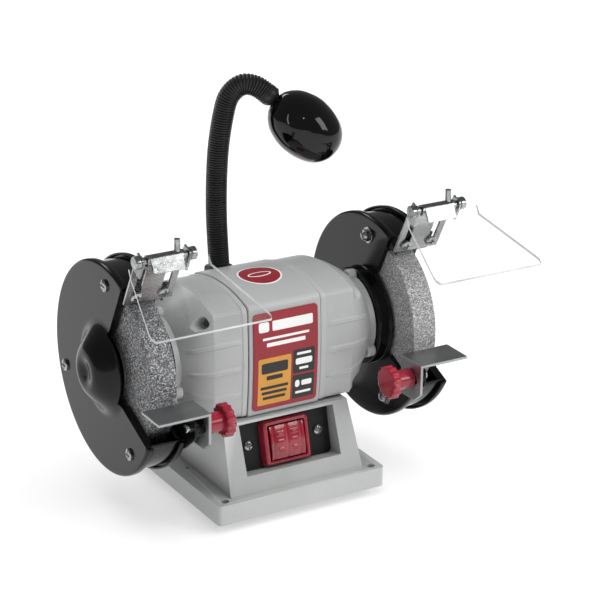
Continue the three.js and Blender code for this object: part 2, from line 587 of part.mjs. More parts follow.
function eyeShield() {
  // Side profile about the rod: a short upright strip, a fold, then the sloping panel.
  const fold = stripPoint(STRIP_END, STRIP_OUT);
  const along = [-Math.cos(SHIELD_SLOPE), -Math.sin(SHIELD_SLOPE)];
  const above = [-Math.sin(SHIELD_SLOPE), Math.cos(SHIELD_SLOPE)];
  const outward = [-Math.cos(BRACKET_LEAN), Math.sin(BRACKET_LEAN)];
  const mitre = SHIELD_T / (1 + outward[0] * above[0] + outward[1] * above[1]);
  const tip = [fold[0] + SHIELD_L * along[0], fold[1] + SHIELD_L * along[1]];
  const profile = [
    stripPoint(STRIP_START, STRIP_OUT), fold, tip,
    [tip[0] + SHIELD_T * above[0], tip[1] + SHIELD_T * above[1]],
    [fold[0] + mitre * (outward[0] + above[0]), fold[1] + mitre * (outward[1] + above[1])],
    stripPoint(STRIP_START, STRIP_OUT + SHIELD_T)];
  const rounded = (corner, before, after, radius) => {
    const a = new THREE.Vector2(...corner);
    const p = new THREE.Vector2(...before).sub(a).setLength(radius).add(a);
    const q = new THREE.Vector2(...after).sub(a).setLength(radius).add(a);
    return new THREE.QuadraticBezierCurve(p, a, q).getPoints(4).map((v) => [v.x, v.y]);
  };
  const front = tip[0] - SHIELD_T;
  const [rearLeft, rearRight] = [[-SHIELD_REAR, fold[0]], [SHIELD_REAR, fold[0]]];
  const [frontLeft, frontRight] = [[-SHIELD_FRONT, front], [SHIELD_FRONT, front]];
  const plan = [
    [-SHIELD_REAR, 4], rearLeft, ...rounded(frontLeft, rearLeft, frontRight, 10),
    ...rounded(frontRight, frontLeft, rearRight, 10), rearRight, [SHIELD_REAR, 4]];
  return common(prismX(profile, -60, 60), prismZ(plan, -80, 20));
}

function shieldClamp() {
  const barrel = cylinderX(4, -14, 14, 0, 0, 14);
  const [top, bottom, near, far] = [-0.5, STRIP_END - 1, 2.5, STRIP_OUT - GAP];
  const outline = [[top, near], [bottom, near], [bottom, far], [top, far]];
  const tongue = prismX(outline.map(([down, out]) => stripPoint(down, out)), -12, 12);
  const thumb = cylinderZ(2.2, 2, 12, 9.5, 0, 12);
  return cut(join(barrel, tongue, thumb), cylinderX(ROD_R + GAP, -20, 20, 0, 0, 12));
}

function buildShields(parent) {
  for (const [hand, side] of [['left', -1], ['right', 1]]) {
    const bracket = group(parent, side * BRACKET_X, ...BRACKET_FOOT, BRACKET_LEAN);
    piece(`bracket_${hand}`, bracketPlate(), zinc, bracket);
    for (const [place, i] of [['outer', side], ['inner', -side]]) {
      const x = i * SLOT_X;
      const screw = join(
        cylinderY(4.2, -4.3, -SHEET - GAP, x, SCREW_Z, 14),
        cylinderY(2, -3, 7, x, SCREW_Z, 10));
      piece(`bracket_screw_${hand}_${place}`, screw, zinc, bracket);
    }
    const half = [[ROD_R, 18.7], [ROD_HEAD_R, 18.7], [ROD_HEAD_R, 23], [0, 23]];
    const rodProfile = [...half.map(([r, x]) => [r, -x]).reverse(), ...half];
    const rod = piece(`shield_rod_${hand}`, turnedX(rodProfile, 12), zinc, bracket);
    rod.position.set(0, ROD_Y, ROD_Z);
    const pivot = group(bracket, 0, ROD_Y, ROD_Z, -BRACKET_LEAN);
    piece(`shield_clamp_${hand}`, shieldClamp(), zinc, pivot);
    piece(`eye_shield_${hand}`, eyeShield(), clearSheet, pivot);
  }
}

// ---------------------------------------------------------------- lamp
const neckPoint = ([reach, height]) =>
  new THREE.Vector3(0, NECK_Y, height).addScaledVector(NECK_AIM, reach);

const ball = (centre, radius) =>
  new THREE.SphereGeometry(radius, 12, 8).rotateX(Math.PI / 2).translate(...centre);

function rod(from, to, radius, segments = 12) {
  const axis = to.clone().sub(from);
  const geometry = new THREE.CylinderGeometry(radius, radius, axis.length(), segments);
  const direction = axis.clone().normalize();
  const turn = new THREE.Quaternion().setFromUnitVectors(new THREE.Vector3(0, 1, 0), direction);
  return geometry.applyQuaternion(turn).translate(...from.clone().add(to).multiplyScalar(0.5));
}

function neckArch() {
  const path = new THREE.CatmullRomCurve3(NECK_ARCH.map(neckPoint));
  const circle = Array.from({ length: 12 }, (_, i) => {
    const angle = 2 * Math.PI * i / 12;
    return new THREE.Vector2(NECK_TUBE_R * Math.cos(angle), NECK_TUBE_R * Math.sin(angle));
  });
  const sweep = { steps: 8, bevelEnabled: false, extrudePath: path };
  return new THREE.ExtrudeGeometry(new THREE.Shape(circle), sweep);
}

// An egg closed at its far end, hollow inside.
function lampShade() {
  const outside = [
    [7.2, 7.2], [10.2, 9], [14.4, 11.7], [18.6, 17.2], [21.3, 24.5], [22.8, 31], [22.8, 37],
    [21.6, 44.5], [18.7, 53], [14.1, 59.5], [7.5, 63.6], [0, 65]];
  const inside = [
    [0, 62.4], [6.4, 61.2], [12.2, 57.5], [16.5, 51.5], [19.2, 43.5], [20.3, 36.5], [20.3, 31.5],
    [18.9, 25.5], [16.4, 19.2], [12.4, 14.2], [0, 12.5]];
  const shell = (profile) => solid(new THREE.LatheGeometry(
    profile.map(([r, t]) => new THREE.Vector2(r, t)), 22));
  return cut(shell([[0, 5.6], ...outside]), shell(inside));
}

function buildLamp(parent) {
  const socket = join(
    cylinderZ(11, 118, SOCKET_TOP, 0, NECK_Y, 28),
    box(-9, 9, MOTOR_HALF_DEPTH + SHELL_PROUD + SIDE_BULGE + GAP + 0.3, NECK_Y, 122, 146));
  piece('lamp_socket', cut(socket, cylinderZ(5.3, 138, 151, 0, NECK_Y, 20)), blackPlastic, parent);
  const [p0, p1, p2, p3, p4] = NECK_POINTS.map(neckPoint);
  const seat = NECK_TUBE_R + GAP;
  const spigot = cylinderZ(5, 139, 153, 0, NECK_Y);
  piece('neck_1', join(rod(p0, p1, NECK_TUBE_R), ball(p1, NECK_TUBE_R), spigot), rubber, parent);
  const sleeve = (from, to) => {
    const start = from.clone().add(to.clone().sub(from).setLength(JOINT_LIP));
    return cut(join(rod(start, to, NECK_TUBE_R), ball(to, NECK_TUBE_R)), ball(from, seat));
  };
  piece('neck_2', sleeve(p1, p2), rubber, parent);
  piece('neck_3', sleeve(p2, p3), rubber, parent);
  piece('neck_4', cut(join(neckArch(), ball(p4, NECK_TUBE_R)), ball(p3, seat)), rubber, parent);
  const aim = NECK_AIM.clone().multiplyScalar(Math.cos(SHADE_DROP));
  aim.z = -Math.sin(SHADE_DROP);
  const turn = new THREE.Quaternion().setFromUnitVectors(new THREE.Vector3(0, 1, 0), aim);
  const place = (shape) => shape.applyQuaternion(turn).translate(...p4);
  // The window in the underside, square to the shade's axis and in the plane of the arch.
  const down = new THREE.Vector3(0, 0, -1).addScaledVector(aim, aim.z).normalize();
  const middle = p4.clone().addScaledVector(aim, WINDOW_T);
  const from = (depth) => middle.clone().addScaledVector(down, depth);
  const window = [
    rod(middle, from(40), WINDOW_R, 32), rod(from(WINDOW_DEPTH), from(40), 30, 24)];
  const shade = geometryOf(lampShade());
  piece('lamp_shade', cut(place(shade), ball(p4, SHADE_SEAT_R), ...window), blackGloss, parent);
  const lens = rod(from(WINDOW_DEPTH - 1.6), from(WINDOW_DEPTH - GAP), WINDOW_R - GAP, 32);
  piece('lamp_lens', lens, lensWhite, parent);
}

// ---------------------------------------------------------------- the machine
const machine = new THREE.Group();
const axisFrame = group(machine, 0, 0, AXIS_Z);
buildBase(machine);
buildSwitch(machine);
buildMotor(axisFrame);
buildRotor(axisFrame);
buildGuards(axisFrame);
buildRests(axisFrame);
buildShields(axisFrame);
buildLamp(machine);

// The origin is the middle of the footprint, on the bench.
const footprint = new THREE.Box3().setFromObject(machine, true);
machine.position.x = -(footprint.min.x + footprint.max.x) / 2;
machine.position.y = -(footprint.min.y + footprint.max.y) / 2;

export default machine;
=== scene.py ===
# %% [markdown]
# A small bench grinder with a lamp. The CAD model already fixes every size and every joint, so
# this script never moves it. It lays finer surfaces over the CAD pieces, gives each surface its
# own finish, and lets each new piece ride on the body that it belongs to.

# %% Load the CAD frame
import json

import bmesh
import bpy
import numpy as np
from mathutils import Matrix, Vector

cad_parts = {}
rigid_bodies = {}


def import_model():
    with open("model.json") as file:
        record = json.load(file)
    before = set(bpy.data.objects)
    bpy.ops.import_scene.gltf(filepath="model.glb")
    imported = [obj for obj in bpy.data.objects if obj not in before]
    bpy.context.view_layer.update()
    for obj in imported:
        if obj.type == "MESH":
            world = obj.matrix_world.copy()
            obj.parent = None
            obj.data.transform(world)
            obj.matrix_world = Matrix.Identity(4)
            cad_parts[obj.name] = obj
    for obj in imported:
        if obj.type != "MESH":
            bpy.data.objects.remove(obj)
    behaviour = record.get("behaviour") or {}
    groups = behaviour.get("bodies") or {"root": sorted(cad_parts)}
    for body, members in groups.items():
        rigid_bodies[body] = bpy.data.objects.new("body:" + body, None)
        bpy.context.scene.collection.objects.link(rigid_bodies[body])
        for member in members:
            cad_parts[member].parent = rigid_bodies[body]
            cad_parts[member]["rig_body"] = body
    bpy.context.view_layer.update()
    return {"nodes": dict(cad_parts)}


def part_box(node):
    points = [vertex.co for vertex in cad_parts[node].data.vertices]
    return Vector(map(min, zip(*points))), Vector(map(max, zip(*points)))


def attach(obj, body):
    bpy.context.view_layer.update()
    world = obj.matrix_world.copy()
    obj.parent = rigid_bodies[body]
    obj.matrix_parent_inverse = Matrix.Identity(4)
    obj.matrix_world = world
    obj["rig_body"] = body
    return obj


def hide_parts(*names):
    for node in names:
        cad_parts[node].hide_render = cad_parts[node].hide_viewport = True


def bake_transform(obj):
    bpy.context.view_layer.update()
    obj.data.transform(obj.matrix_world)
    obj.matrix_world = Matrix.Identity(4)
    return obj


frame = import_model()

# %% [markdown]
# Everything on this machine is set out from its shaft, so the shapes are written in millimetres
# from the middle of the shaft: x along it, -y to the front, z up. One helper turns that into
# metres in the frame. The driving sizes come from the CAD boxes, so they can't drift from it.

# %% Driving sizes, taken from the CAD boxes
MM = 0.001
shaft_low, shaft_high = (np.array(corner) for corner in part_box("shaft"))
AXIS = (shaft_low + shaft_high) / 2


def box_mm(node):
    """A CAD node's lowest and highest corners, in millimetres from the middle of the shaft."""
    return [(np.array(corner) - AXIS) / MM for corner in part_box(node)]


BENCH = -AXIS[2] / MM
GUARD_R = box_mm("guard_cover_right")[1][2]
DOME_TOP = box_mm("guard_cover_right")[1][0]
DOME_RISE = 14.0
COVER_FACE = DOME_TOP - DOME_RISE
WHEEL_IN, WHEEL_OUT = (corner[0] for corner in box_mm("wheel_right"))
WHEEL_R = box_mm("wheel_right")[1][2]
CUP_FACE = box_mm("guard_inner_right")[0][0]
PLATE_FACE = 93.4
BELL_START, NECK_END = (corner[0] for corner in box_mm("end_bell_right"))
SHELL_HALF = box_mm("motor_shell")[1][0]
print(f"guard radius {GUARD_R:.1f}, wheel radius {WHEEL_R:.1f}, shaft {-BENCH:.1f} above the bench")

# %% [markdown]
# A grid of points becomes a surface once neighbouring points are joined by four-sided faces.
# Wrapping a direction joins its last row to its first, which is what makes a tube or a ring.

# %% Grids, profiles and outlines
SIDES = (("left", -1), ("right", 1))


def grid_faces(rows, columns, wrap_rows=False, wrap_columns=False):
    """Face (i, j) joins grid points (i, j), (i+1, j), (i+1, j+1) and (i, j+1)."""
    i = np.arange(rows if wrap_rows else rows - 1)
    j = np.arange(columns if wrap_columns else columns - 1)
    i, j = np.meshgrid(i, j, indexing="ij")
    below, beside = (i + 1) % rows, (j + 1) % columns
    corners = [i * columns + j, below * columns + j, below * columns + beside, i * columns + beside]
    return np.stack(corners, -1).reshape(-1, 4)


def surface(grid, wrap_rows=False, wrap_columns=False):
    """A (rows, columns, 3) grid as points and faces."""
    rows, columns = grid.shape[:2]
    return grid.reshape(-1, 3), grid_faces(rows, columns, wrap_rows, wrap_columns)


def soften(points, radius, steps=4, closed=False):
    """Each corner becomes a curve: (1-t)^2 p + 2t(1-t) corner + t^2 q, p and q `radius` away."""
    points = np.asarray(points, float)
    out = []
    count = len(points)
    for k, corner in enumerate(points):
        if not closed and k in (0, count - 1):
            out.append(corner[None])
            continue
        ends = [points[(k - 1) % count] - corner, points[(k + 1) % count] - corner]
        sizes = [np.linalg.norm(e) for e in ends]
        p, q = (corner + e * min(radius, 0.45 * s) / s for e, s in zip(ends, sizes))
        t = np.linspace(0, 1, steps + 1)[:, None]
        out.append((1 - t) ** 2 * p + 2 * t * (1 - t) * corner + t ** 2 * q)
    return np.concatenate(out)


def curve_through(points, steps=8):
    """A Catmull-Rom curve: a cubic between each two points, level with the chord across them."""
    points = np.asarray(points, float)
    padded = np.concatenate([[2 * points[0] - points[1]], points, [2 * points[-1] - points[-2]]])
    t = np.linspace(0, 1, steps, endpoint=False)[:, None]
    out = []
    for a, b, c, d in zip(padded, padded[1:], padded[2:], padded[3:]):
        cubic = (2 * a - 5 * b + 4 * c - d) * t ** 2 + (3 * b - a - 3 * c + d) * t ** 3
        out.append(b + ((c - a) * t + cubic) / 2)
    return np.concatenate([*out, points[-1:]])


def turned(profile, segments=96, closed=False, ripple=None):
    """Point (i, j) is the profile's (radius, x) turned by angle j: (x, r cos, r sin)."""
    radius, x = np.asarray(profile, float).T
    angle = np.linspace(0, 2 * np.pi, segments, endpoint=False)
    reach = radius[:, None] * np.ones(segments)
    if ripple is not None:
        reach = reach + ripple(angle)
    grid = [x[:, None] + 0 * reach, reach * np.cos(angle), reach * np.sin(angle)]
    return surface(np.stack(grid, -1), closed, True)


def aimed(points, origin, axis, up=(0, 0, 1)):
    """Turns a shape drawn along +x so that it runs along `axis` from `origin`."""
    axis = np.asarray(axis, float) / np.linalg.norm(axis)
    side = np.cross(up, axis)
    side = side / np.linalg.norm(side)
    return np.asarray(points) @ np.stack([axis, side, np.cross(axis, side)]) + np.asarray(origin)


def rounded_box(low, high, radius, detail=24):
    """Each point of a ball of that radius is pushed out to its own corner of the box."""
    low, high = np.asarray(low, float), np.asarray(high, float)
    around = (np.arange(detail) + 0.5) * 2 * np.pi / detail
    tall = np.linspace(-np.pi / 2, np.pi / 2, detail // 2 * 2)
    flat = np.cos(tall)[:, None]
    ball = np.stack([
        flat * np.cos(around), flat * np.sin(around), np.sin(tall)[:, None] + 0 * around], -1)
    push = np.sign(ball)
    half = (high - low) / 2 - radius
    return surface((low + high) / 2 + push * half + radius * ball, False, True)


def slab(outer, inner):
    """A closed solid between two grids of the same shape: two skins and a rim."""
    rows, columns = outer.shape[:2]
    count = rows * columns
    edge = np.concatenate([
        np.arange(columns), np.arange(2, rows) * columns - 1,
        np.arange(count - 1, count - columns - 1, -1), np.arange(rows - 2, 0, -1) * columns])
    after = np.roll(edge, -1)
    rim = np.stack([edge, after, after + count, edge + count], -1)
    skin = grid_faces(rows, columns)
    return np.concatenate([outer.reshape(-1, 3), inner.reshape(-1, 3)]), np.concatenate(
        [skin, skin[:, ::-1] + count, rim])


# %% [markdown]
# Cast, moulded and pressed parts never have knife edges. A small bevel is what catches the light
# along an edge, and area-weighted normals keep the flat faces between the bevels flat.

# %% Putting shapes into Blender
WELD = 1e-6
CREASE = np.radians(35)


def new_object(name, mesh, finishes, body, stands_for):
    """Adds the object to the scene, with its materials, its body and the nodes it stands for."""
    piece = bpy.data.objects.new(name, mesh)
    bpy.context.scene.collection.objects.link(piece)
    for finish in finishes:
        mesh.materials.append(finish)
    if body:
        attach(piece, body)
    if stands_for:
        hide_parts(*stands_for)
    return piece


def crease_edges(shell, limit=CREASE):
    """Edges sharper than the limit stay sharp; all the others shade smoothly."""
    for face in shell.faces:
        face.smooth = True
    for edge in shell.edges:
        edge.smooth = bool(edge.calc_face_angle(0.0) < limit)


def make(name, shapes, body, stands_for=(), side=1, wall=None, away_from=None):
    """One object from shapes of (points, faces, finish), in mm from the shaft; side -1 mirrors it."""
    total = bmesh.new()
    finishes = []
    for points, faces, finish in shapes:
        if finish not in finishes:
            finishes.append(finish)
        places = np.asarray(points) * (side, 1, 1) * MM + AXIS
        mesh = bpy.data.meshes.new(name)
        mesh.from_pydata(places.tolist(), [], np.asarray(faces).tolist())
        shell = bmesh.new()
        shell.from_mesh(mesh)
        bmesh.ops.remove_doubles(shell, verts=shell.verts, dist=WELD)
        bmesh.ops.dissolve_degenerate(shell, edges=shell.edges, dist=WELD)
        loose = [edge for edge in shell.edges if not edge.link_faces]
        bmesh.ops.delete(shell, geom=loose, context="EDGES")
        bmesh.ops.recalc_face_normals(shell, faces=shell.faces)
        if away_from is not None:
            centre = Vector(np.asarray(away_from) * (side, 1, 1) * MM + AXIS)
            facing = sum((f.calc_center_median() - centre).dot(f.normal) * f.calc_area()
                         for f in shell.faces)
            if facing < 0:
                bmesh.ops.reverse_faces(shell, faces=shell.faces)
        elif not wall and shell.calc_volume(signed=True) < 0:
            bmesh.ops.reverse_faces(shell, faces=shell.faces)
        crease_edges(shell)
        for face in shell.faces:
            face.material_index = finishes.index(finish)
        shell.to_mesh(mesh)
        shell.free()
        total.from_mesh(mesh)
        bpy.data.meshes.remove(mesh)
    mesh = bpy.data.meshes.new(name)
    total.to_mesh(mesh)
    total.free()
    piece = new_object(name, mesh, finishes, body, stands_for)
    if wall:
        solid = piece.modifiers.new("wall", "SOLIDIFY")
        solid.thickness, solid.offset, solid.use_even_offset = wall * MM, -1, False
    weigh = piece.modifiers.new("flat faces", "WEIGHTED_NORMAL")
    weigh.keep_sharp = True
    print(f"{name}: {len(mesh.vertices)} points")
    return piece


def eased(node, finish, radius, steps=2, name=None):
    """A welded copy of a CAD node with its sharp edges rounded, in place of the node."""
    source = frame["nodes"][node]
    shell = bmesh.new()
    shell.from_mesh(source.data)
    bmesh.ops.remove_doubles(shell, verts=shell.verts, dist=WELD)
    bmesh.ops.dissolve_limit(
        shell, angle_limit=np.radians(0.8), verts=shell.verts, edges=shell.edges)
    crease_edges(shell)
    mesh = bpy.data.meshes.new(name or f"{node}_finished")
    shell.to_mesh(mesh)
    shell.free()
    piece = new_object(mesh.name, mesh, [finish], source["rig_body"], [node])
    bevel = piece.modifiers.new("edges", "BEVEL")
    bevel.width, bevel.segments, bevel.limit_method = radius * MM, steps, "ANGLE"
    bevel.angle_limit, bevel.use_clamp_overlap = CREASE, True
    bevel.miter_outer = "MITER_ARC"
    weigh = piece.modifiers.new("flat faces", "WEIGHTED_NORMAL")
    weigh.keep_sharp = True
    print(f"{mesh.name}: edges eased by {radius} mm")
    return piece


# %% [markdown]
# Materials are node trees. Every one here starts the same way: a slow noise drifts the colour,
# a fine noise makes the relief, and both vary the roughness, because no real surface is even.

# %% Material helpers
MIX_FACTOR, MIX_A, MIX_B, MIX_OUT = 0, 6, 7, 2  # a colour Mix node's sockets


def linear(hex_text):
    """An sRGB hex colour as linear RGBA."""
    c = np.array([int(hex_text[i:i + 2], 16) for i in (1, 3, 5)]) / 255
    c = np.where(c <= 0.04045, c / 12.92, ((c + 0.055) / 1.055) ** 2.4)
    return (*c.tolist(), 1.0)


def node(tree, kind, inputs=None, **settings):
    """Adds one node with its settings; each input is a value or another node's output."""
    made = tree.nodes.new(kind)
    for key, value in settings.items():
        setattr(made, key, value)
    for key, value in (inputs or {}).items():
        if isinstance(value, bpy.types.NodeSocket):
            tree.links.new(value, made.inputs[key])
        else:
            made.inputs[key].default_value = value
    return made


def per_metre(size_mm):
    """The noise scale whose features are about that many millimetres across."""
    return 1 / (size_mm * MM)


def blank_material(name):
    """An empty node tree, and the piece's own coordinates."""
    material = bpy.data.materials.new(name)
    material.use_nodes = True
    material.node_tree.nodes.clear()
    place = node(material.node_tree, "ShaderNodeTexCoord").outputs["Object"]
    return material, material.node_tree, place


RANGE = ("Value", "From Min", "From Max", "To Min", "To Max")  # a Map Range node's sockets


def finish_material(tree, inputs):
    """The surface shader, joined to the material's output."""
    shader = node(tree, "ShaderNodeBsdfPrincipled", inputs)
    node(tree, "ShaderNodeOutputMaterial", {"Surface": shader.outputs["BSDF"]})


def textured(name, dark, light, cloud, grain, relief, rough, shader=None, stretch=(1, 1, 1), edge_wear_and_highlight=None):
    """cloud and grain are sizes in mm, relief is the bump's height in mm, rough is (low, high)."""
    material, tree, place = blank_material(name)
    place = node(tree, "ShaderNodeMapping", {"Vector": place, "Scale": stretch}).outputs["Vector"]
    slow = node(tree, "ShaderNodeTexNoise", {"Vector": place, "Scale": per_metre(cloud), "Detail": 3.0})
    fine = node(tree, "ShaderNodeTexNoise", {"Vector": place, "Scale": per_metre(grain), "Detail": 2.0})
    slow, fine = slow.outputs["Fac"], fine.outputs["Fac"]
    drift = node(tree, "ShaderNodeMapRange", dict(zip(RANGE, (slow, 0.3, 0.7, 0.0, 1.0)))).outputs["Result"]
    colour = node(tree, "ShaderNodeMix", {
        MIX_FACTOR: drift, MIX_A: linear(dark), MIX_B: linear(light)},
        data_type="RGBA").outputs[MIX_OUT]
    # Convex edges are painted paler: partly worn finish, partly a painted highlight.
    if edge_wear_and_highlight:
        edge = node(tree, "ShaderNodeNewGeometry").outputs["Pointiness"]
        wear_and_highlight_share = node(tree, "ShaderNodeMapRange", dict(zip(RANGE, (edge, 0.51, 0.58, 0.0, 0.55))))
        colour = node(tree, "ShaderNodeMix", {
            MIX_FACTOR: wear_and_highlight_share.outputs["Result"], MIX_A: colour, MIX_B: linear(edge_wear_and_highlight)},
            data_type="RGBA").outputs[MIX_OUT]
    both = node(tree, "ShaderNodeMath", {0: slow, 1: fine}, operation="MULTIPLY").outputs["Value"]
    roughness = node(tree, "ShaderNodeMapRange", dict(zip(RANGE, (both, 0.1, 0.4, *rough))))
    bump = node(tree, "ShaderNodeBump", {"Height": fine, "Distance": relief * MM})
    finish_material(tree, {
        "Base Color": colour, "Roughness": roughness.outputs["Result"],
        "Normal": bump.outputs["Normal"], **(shader or {})})
    return material


# %% [markdown]
# The castings are die-cast aluminium under a satin stove enamel. The enamel is sprayed, so it has
# a faint orange peel about a millimetre across. It is thinner along the edges, and convex edges are
# painted paler: partly worn enamel, partly a painted highlight where an edge catches the light.

# %% Enamel finishes
grey_enamel = textured(
    "satin_grey_stove_enamel", "#9c9e9d", "#abadac", 60, 1.1, 0.012, (0.3, 0.42),
    {"IOR": 1.5, "Coat Weight": 0.15, "Coat Roughness": 0.25}, edge_wear_and_highlight="#d2d4d3")
# Gloss black stove enamel on pressed steel: nearly a mirror, broken up by a shallow orange peel.
# Its specular level is below the usual, or the pale floor would turn it grey.
# Its paler edge colour is partly worn enamel, partly a painted highlight.
black_enamel = textured(
    "gloss_black_stove_enamel", "#060607", "#0c0c0e", 40, 1.4, 0.02, (0.1, 0.22),
    {"IOR": 1.45, "Specular IOR Level": 0.28}, edge_wear_and_highlight="#19191b")
# The lamp's head is lacquered until it reads as piano black: clear coats over a black ground.
piano_lacquer = textured(
    "piano_black_lacquer", "#060607", "#0b0b0c", 30, 2.0, 0.003, (0.05, 0.12),
    {"IOR": 1.5, "Specular IOR Level": 0.2, "Coat Weight": 0.35, "Coat Roughness": 0.03})
white_reflector = textured(
    "white_reflector_enamel", "#e4e5e2", "#f1f1ee", 20, 1.0, 0.01, (0.3, 0.45), {"IOR": 1.5})

# %% [markdown]
# Plastics are moulded, so they copy the polish of the mould. The knobs are glossy, the switch
# plate was blasted to a satin, and rubber scatters light almost evenly.

# %% Plastic and rubber finishes
moulded_black = textured(
    "blasted_black_abs", "#060607", "#0e0e0f", 25, 0.5, 0.02, (0.4, 0.6), {"IOR": 1.42})
rubber = textured(
    "moulded_black_rubber", "#0e0e0e", "#1a1a1a", 15, 0.8, 0.04, (0.7, 0.9), {"IOR": 1.52})
conduit = textured(
    "corrugated_black_polyamide", "#101011", "#1c1c1e", 12, 0.7, 0.015, (0.3, 0.45), {"IOR": 1.53})
red_gloss = textured(
    "gloss_red_polypropylene", "#86152a", "#a01d33", 18, 1.2, 0.01, (0.14, 0.26),
    {"IOR": 1.49, "Subsurface Weight": 0.08, "Subsurface Radius": (0.004, 0.001, 0.001),
     "Coat Weight": 0.3, "Coat Roughness": 0.08})
# The splash boot is soft PVC, clear enough for light to sink in and come back a deeper red.
red_boot = textured(
    "clear_red_pvc", "#7e1424", "#a02236", 14, 1.6, 0.02, (0.12, 0.24),
    {"IOR": 1.53, "Subsurface Weight": 0.35, "Subsurface Radius": (0.008, 0.001, 0.001),
     "Coat Weight": 0.5, "Coat Roughness": 0.05})

# %% [markdown]
# Zinc plating follows the steel beneath it. Rolled sheet keeps the mill's fine lines, so its noise
# is stretched along the rolling direction, and turned screws are smoother and brighter.

# %% Metal finishes
rolled_zinc = textured(
    "bright_zinc_on_rolled_sheet", "#747676", "#aeb0af", 14, 0.9, 0.02, (0.16, 0.34),
    {"Metallic": 1.0}, stretch=(0.12, 1, 1))
# Its paler edge colour is partly worn plating, partly a painted highlight.
rest_zinc = textured(
    "dull_zinc_on_rolled_sheet", "#7f8182", "#a2a4a4", 14, 0.8, 0.02, (0.3, 0.5),
    {"Metallic": 1.0}, stretch=(0.15, 1, 1), edge_wear_and_highlight="#c4c6c6")
turned_zinc = textured(
    "bright_zinc_on_turned_steel", "#7e8080", "#b4b6b5", 4, 0.5, 0.012, (0.12, 0.26),
    {"Metallic": 1.0})
ground_steel = textured(
    "ground_steel", "#8c8e90", "#b3b5b7", 18, 0.5, 0.01, (0.22, 0.4), {"Metallic": 1.0},
    stretch=(4, 1, 1))
lamination_edges = textured(
    "stacked_lamination_edges", "#55585b", "#83868a", 8, 0.6, 0.05, (0.4, 0.6),
    {"Metallic": 0.9}, stretch=(6, 1, 1))
winding_copper = textured(
    "enamelled_copper_winding", "#6f3418", "#a9602f", 6, 0.9, 0.12, (0.25, 0.45), {"Metallic": 0.8})
drawn_aluminium = textured(
    "drawn_aluminium_can", "#a4a6a8", "#c9cbcc", 15, 0.8, 0.01, (0.3, 0.45), {"Metallic": 1.0})


# %% [markdown]
# A grinding wheel is crushed abrasive held in a fired clay bond. Each grain breaks at its own
# angle; some grains are painted white as glints where a facet would catch the light, and the pores
# between them are painted dark as their shade. The real grains are about half
# a millimetre; they are drawn a little coarser here so that they show.

# %% Abrasive finish
def bonded_grit(name, pore_shade, body, painted_glint, grain_mm):
    """Cells of one grain each: the cell's own random value picks the pores' painted shade, body or a
    painted glint.
    """
    material, tree, place = blank_material(name)
    grains = node(tree, "ShaderNodeTexVoronoi", {"Vector": place, "Scale": per_metre(grain_mm)})
    pick = node(tree, "ShaderNodeSeparateColor", {"Color": grains.outputs["Color"]}).outputs["Red"]
    worn = node(tree, "ShaderNodeTexNoise", {"Vector": place, "Scale": per_metre(16), "Detail": 3.0})
    colour = linear(pore_shade)
    layers = ((pick, 0.1, 0.55, 1.0, body), (pick, 0.72, 0.95, 1.0, painted_glint),
              (worn.outputs["Fac"], 0.35, 0.7, 0.3, body))
    for value, low, high, most, layer in layers:
        share = node(tree, "ShaderNodeMapRange", dict(zip(RANGE, (value, low, high, 0.0, most))))
        colour = node(tree, "ShaderNodeMix", {
            MIX_FACTOR: share.outputs["Result"], MIX_A: colour, MIX_B: linear(layer)},
            data_type="RGBA").outputs[MIX_OUT]
    roughness = node(tree, "ShaderNodeMapRange", dict(zip(RANGE, (pick, 0.0, 1.0, 0.95, 0.6))))
    bump = node(tree, "ShaderNodeBump", {"Height": pick, "Distance": 0.25 * MM})
    finish_material(tree, {
        "Base Color": colour, "Roughness": roughness.outputs["Result"],
        "Normal": bump.outputs["Normal"], "IOR": 1.6})
    return material


# Each wheel's colours are the pores' painted shade, the body, and a painted glint.
coarse_grit = bonded_grit("coarse_bonded_corundum", "#3a3a3b", "#78797b", "#d2d2d3", 0.75)
fine_grit = bonded_grit("fine_bonded_corundum", "#626263", "#a4a4a4", "#e8e8e8", 0.6)


# %% [markdown]
# Polycarbonate is clear, and it bends light a little more than window glass does. Its faces hardly
# show. A sawn edge scatters light, so it reads as a thin satin line all round the shield. Printed
# film is vinyl, screen printed in flat colours.

# %% Clear and printed finishes
def clear_material(name, tint, rough, transmission, alpha):
    """A clear sheet: light passes through, with a little haze from handling."""
    material, tree, place = blank_material(name)
    haze = node(tree, "ShaderNodeTexNoise", {"Vector": place, "Scale": per_metre(25), "Detail": 4.0})
    haze = haze.outputs["Fac"]
    roughness = node(tree, "ShaderNodeMapRange", dict(zip(RANGE, (haze, 0.3, 0.7, *rough))))
    scratch = node(tree, "ShaderNodeTexNoise", {"Vector": place, "Scale": per_metre(1.5), "Detail": 2.0})
    bump = node(tree, "ShaderNodeBump", {"Height": scratch.outputs["Fac"], "Distance": 0.002 * MM})
    colour = node(tree, "ShaderNodeMix", {
        MIX_FACTOR: haze, MIX_A: linear(tint), MIX_B: linear("#ffffff")},
        data_type="RGBA").outputs[MIX_OUT]
    finish_material(tree, {
        "Base Color": colour, "Roughness": roughness.outputs["Result"], "Normal": bump.outputs["Normal"],
        "Transmission Weight": transmission, "IOR": 1.585, "Alpha": alpha})
    return material


polycarbonate = clear_material("clear_polycarbonate", "#f4f7f7", (0.0, 0.02), 1.0, 0.09)
sawn_edge = clear_material("sawn_polycarbonate_edge", "#8d9393", (0.1, 0.25), 0.1, 0.92)
frosted_lens = clear_material("frosted_lamp_lens", "#f0f0ea", (0.45, 0.6), 0.35, 1.0)


def printed(name, dark, light):
    """Screen print on vinyl film: even colour, a satin face, a trace of the film's own texture."""
    return textured(name, dark, light, 30, 0.9, 0.006, (0.28, 0.4), {"IOR": 1.5})


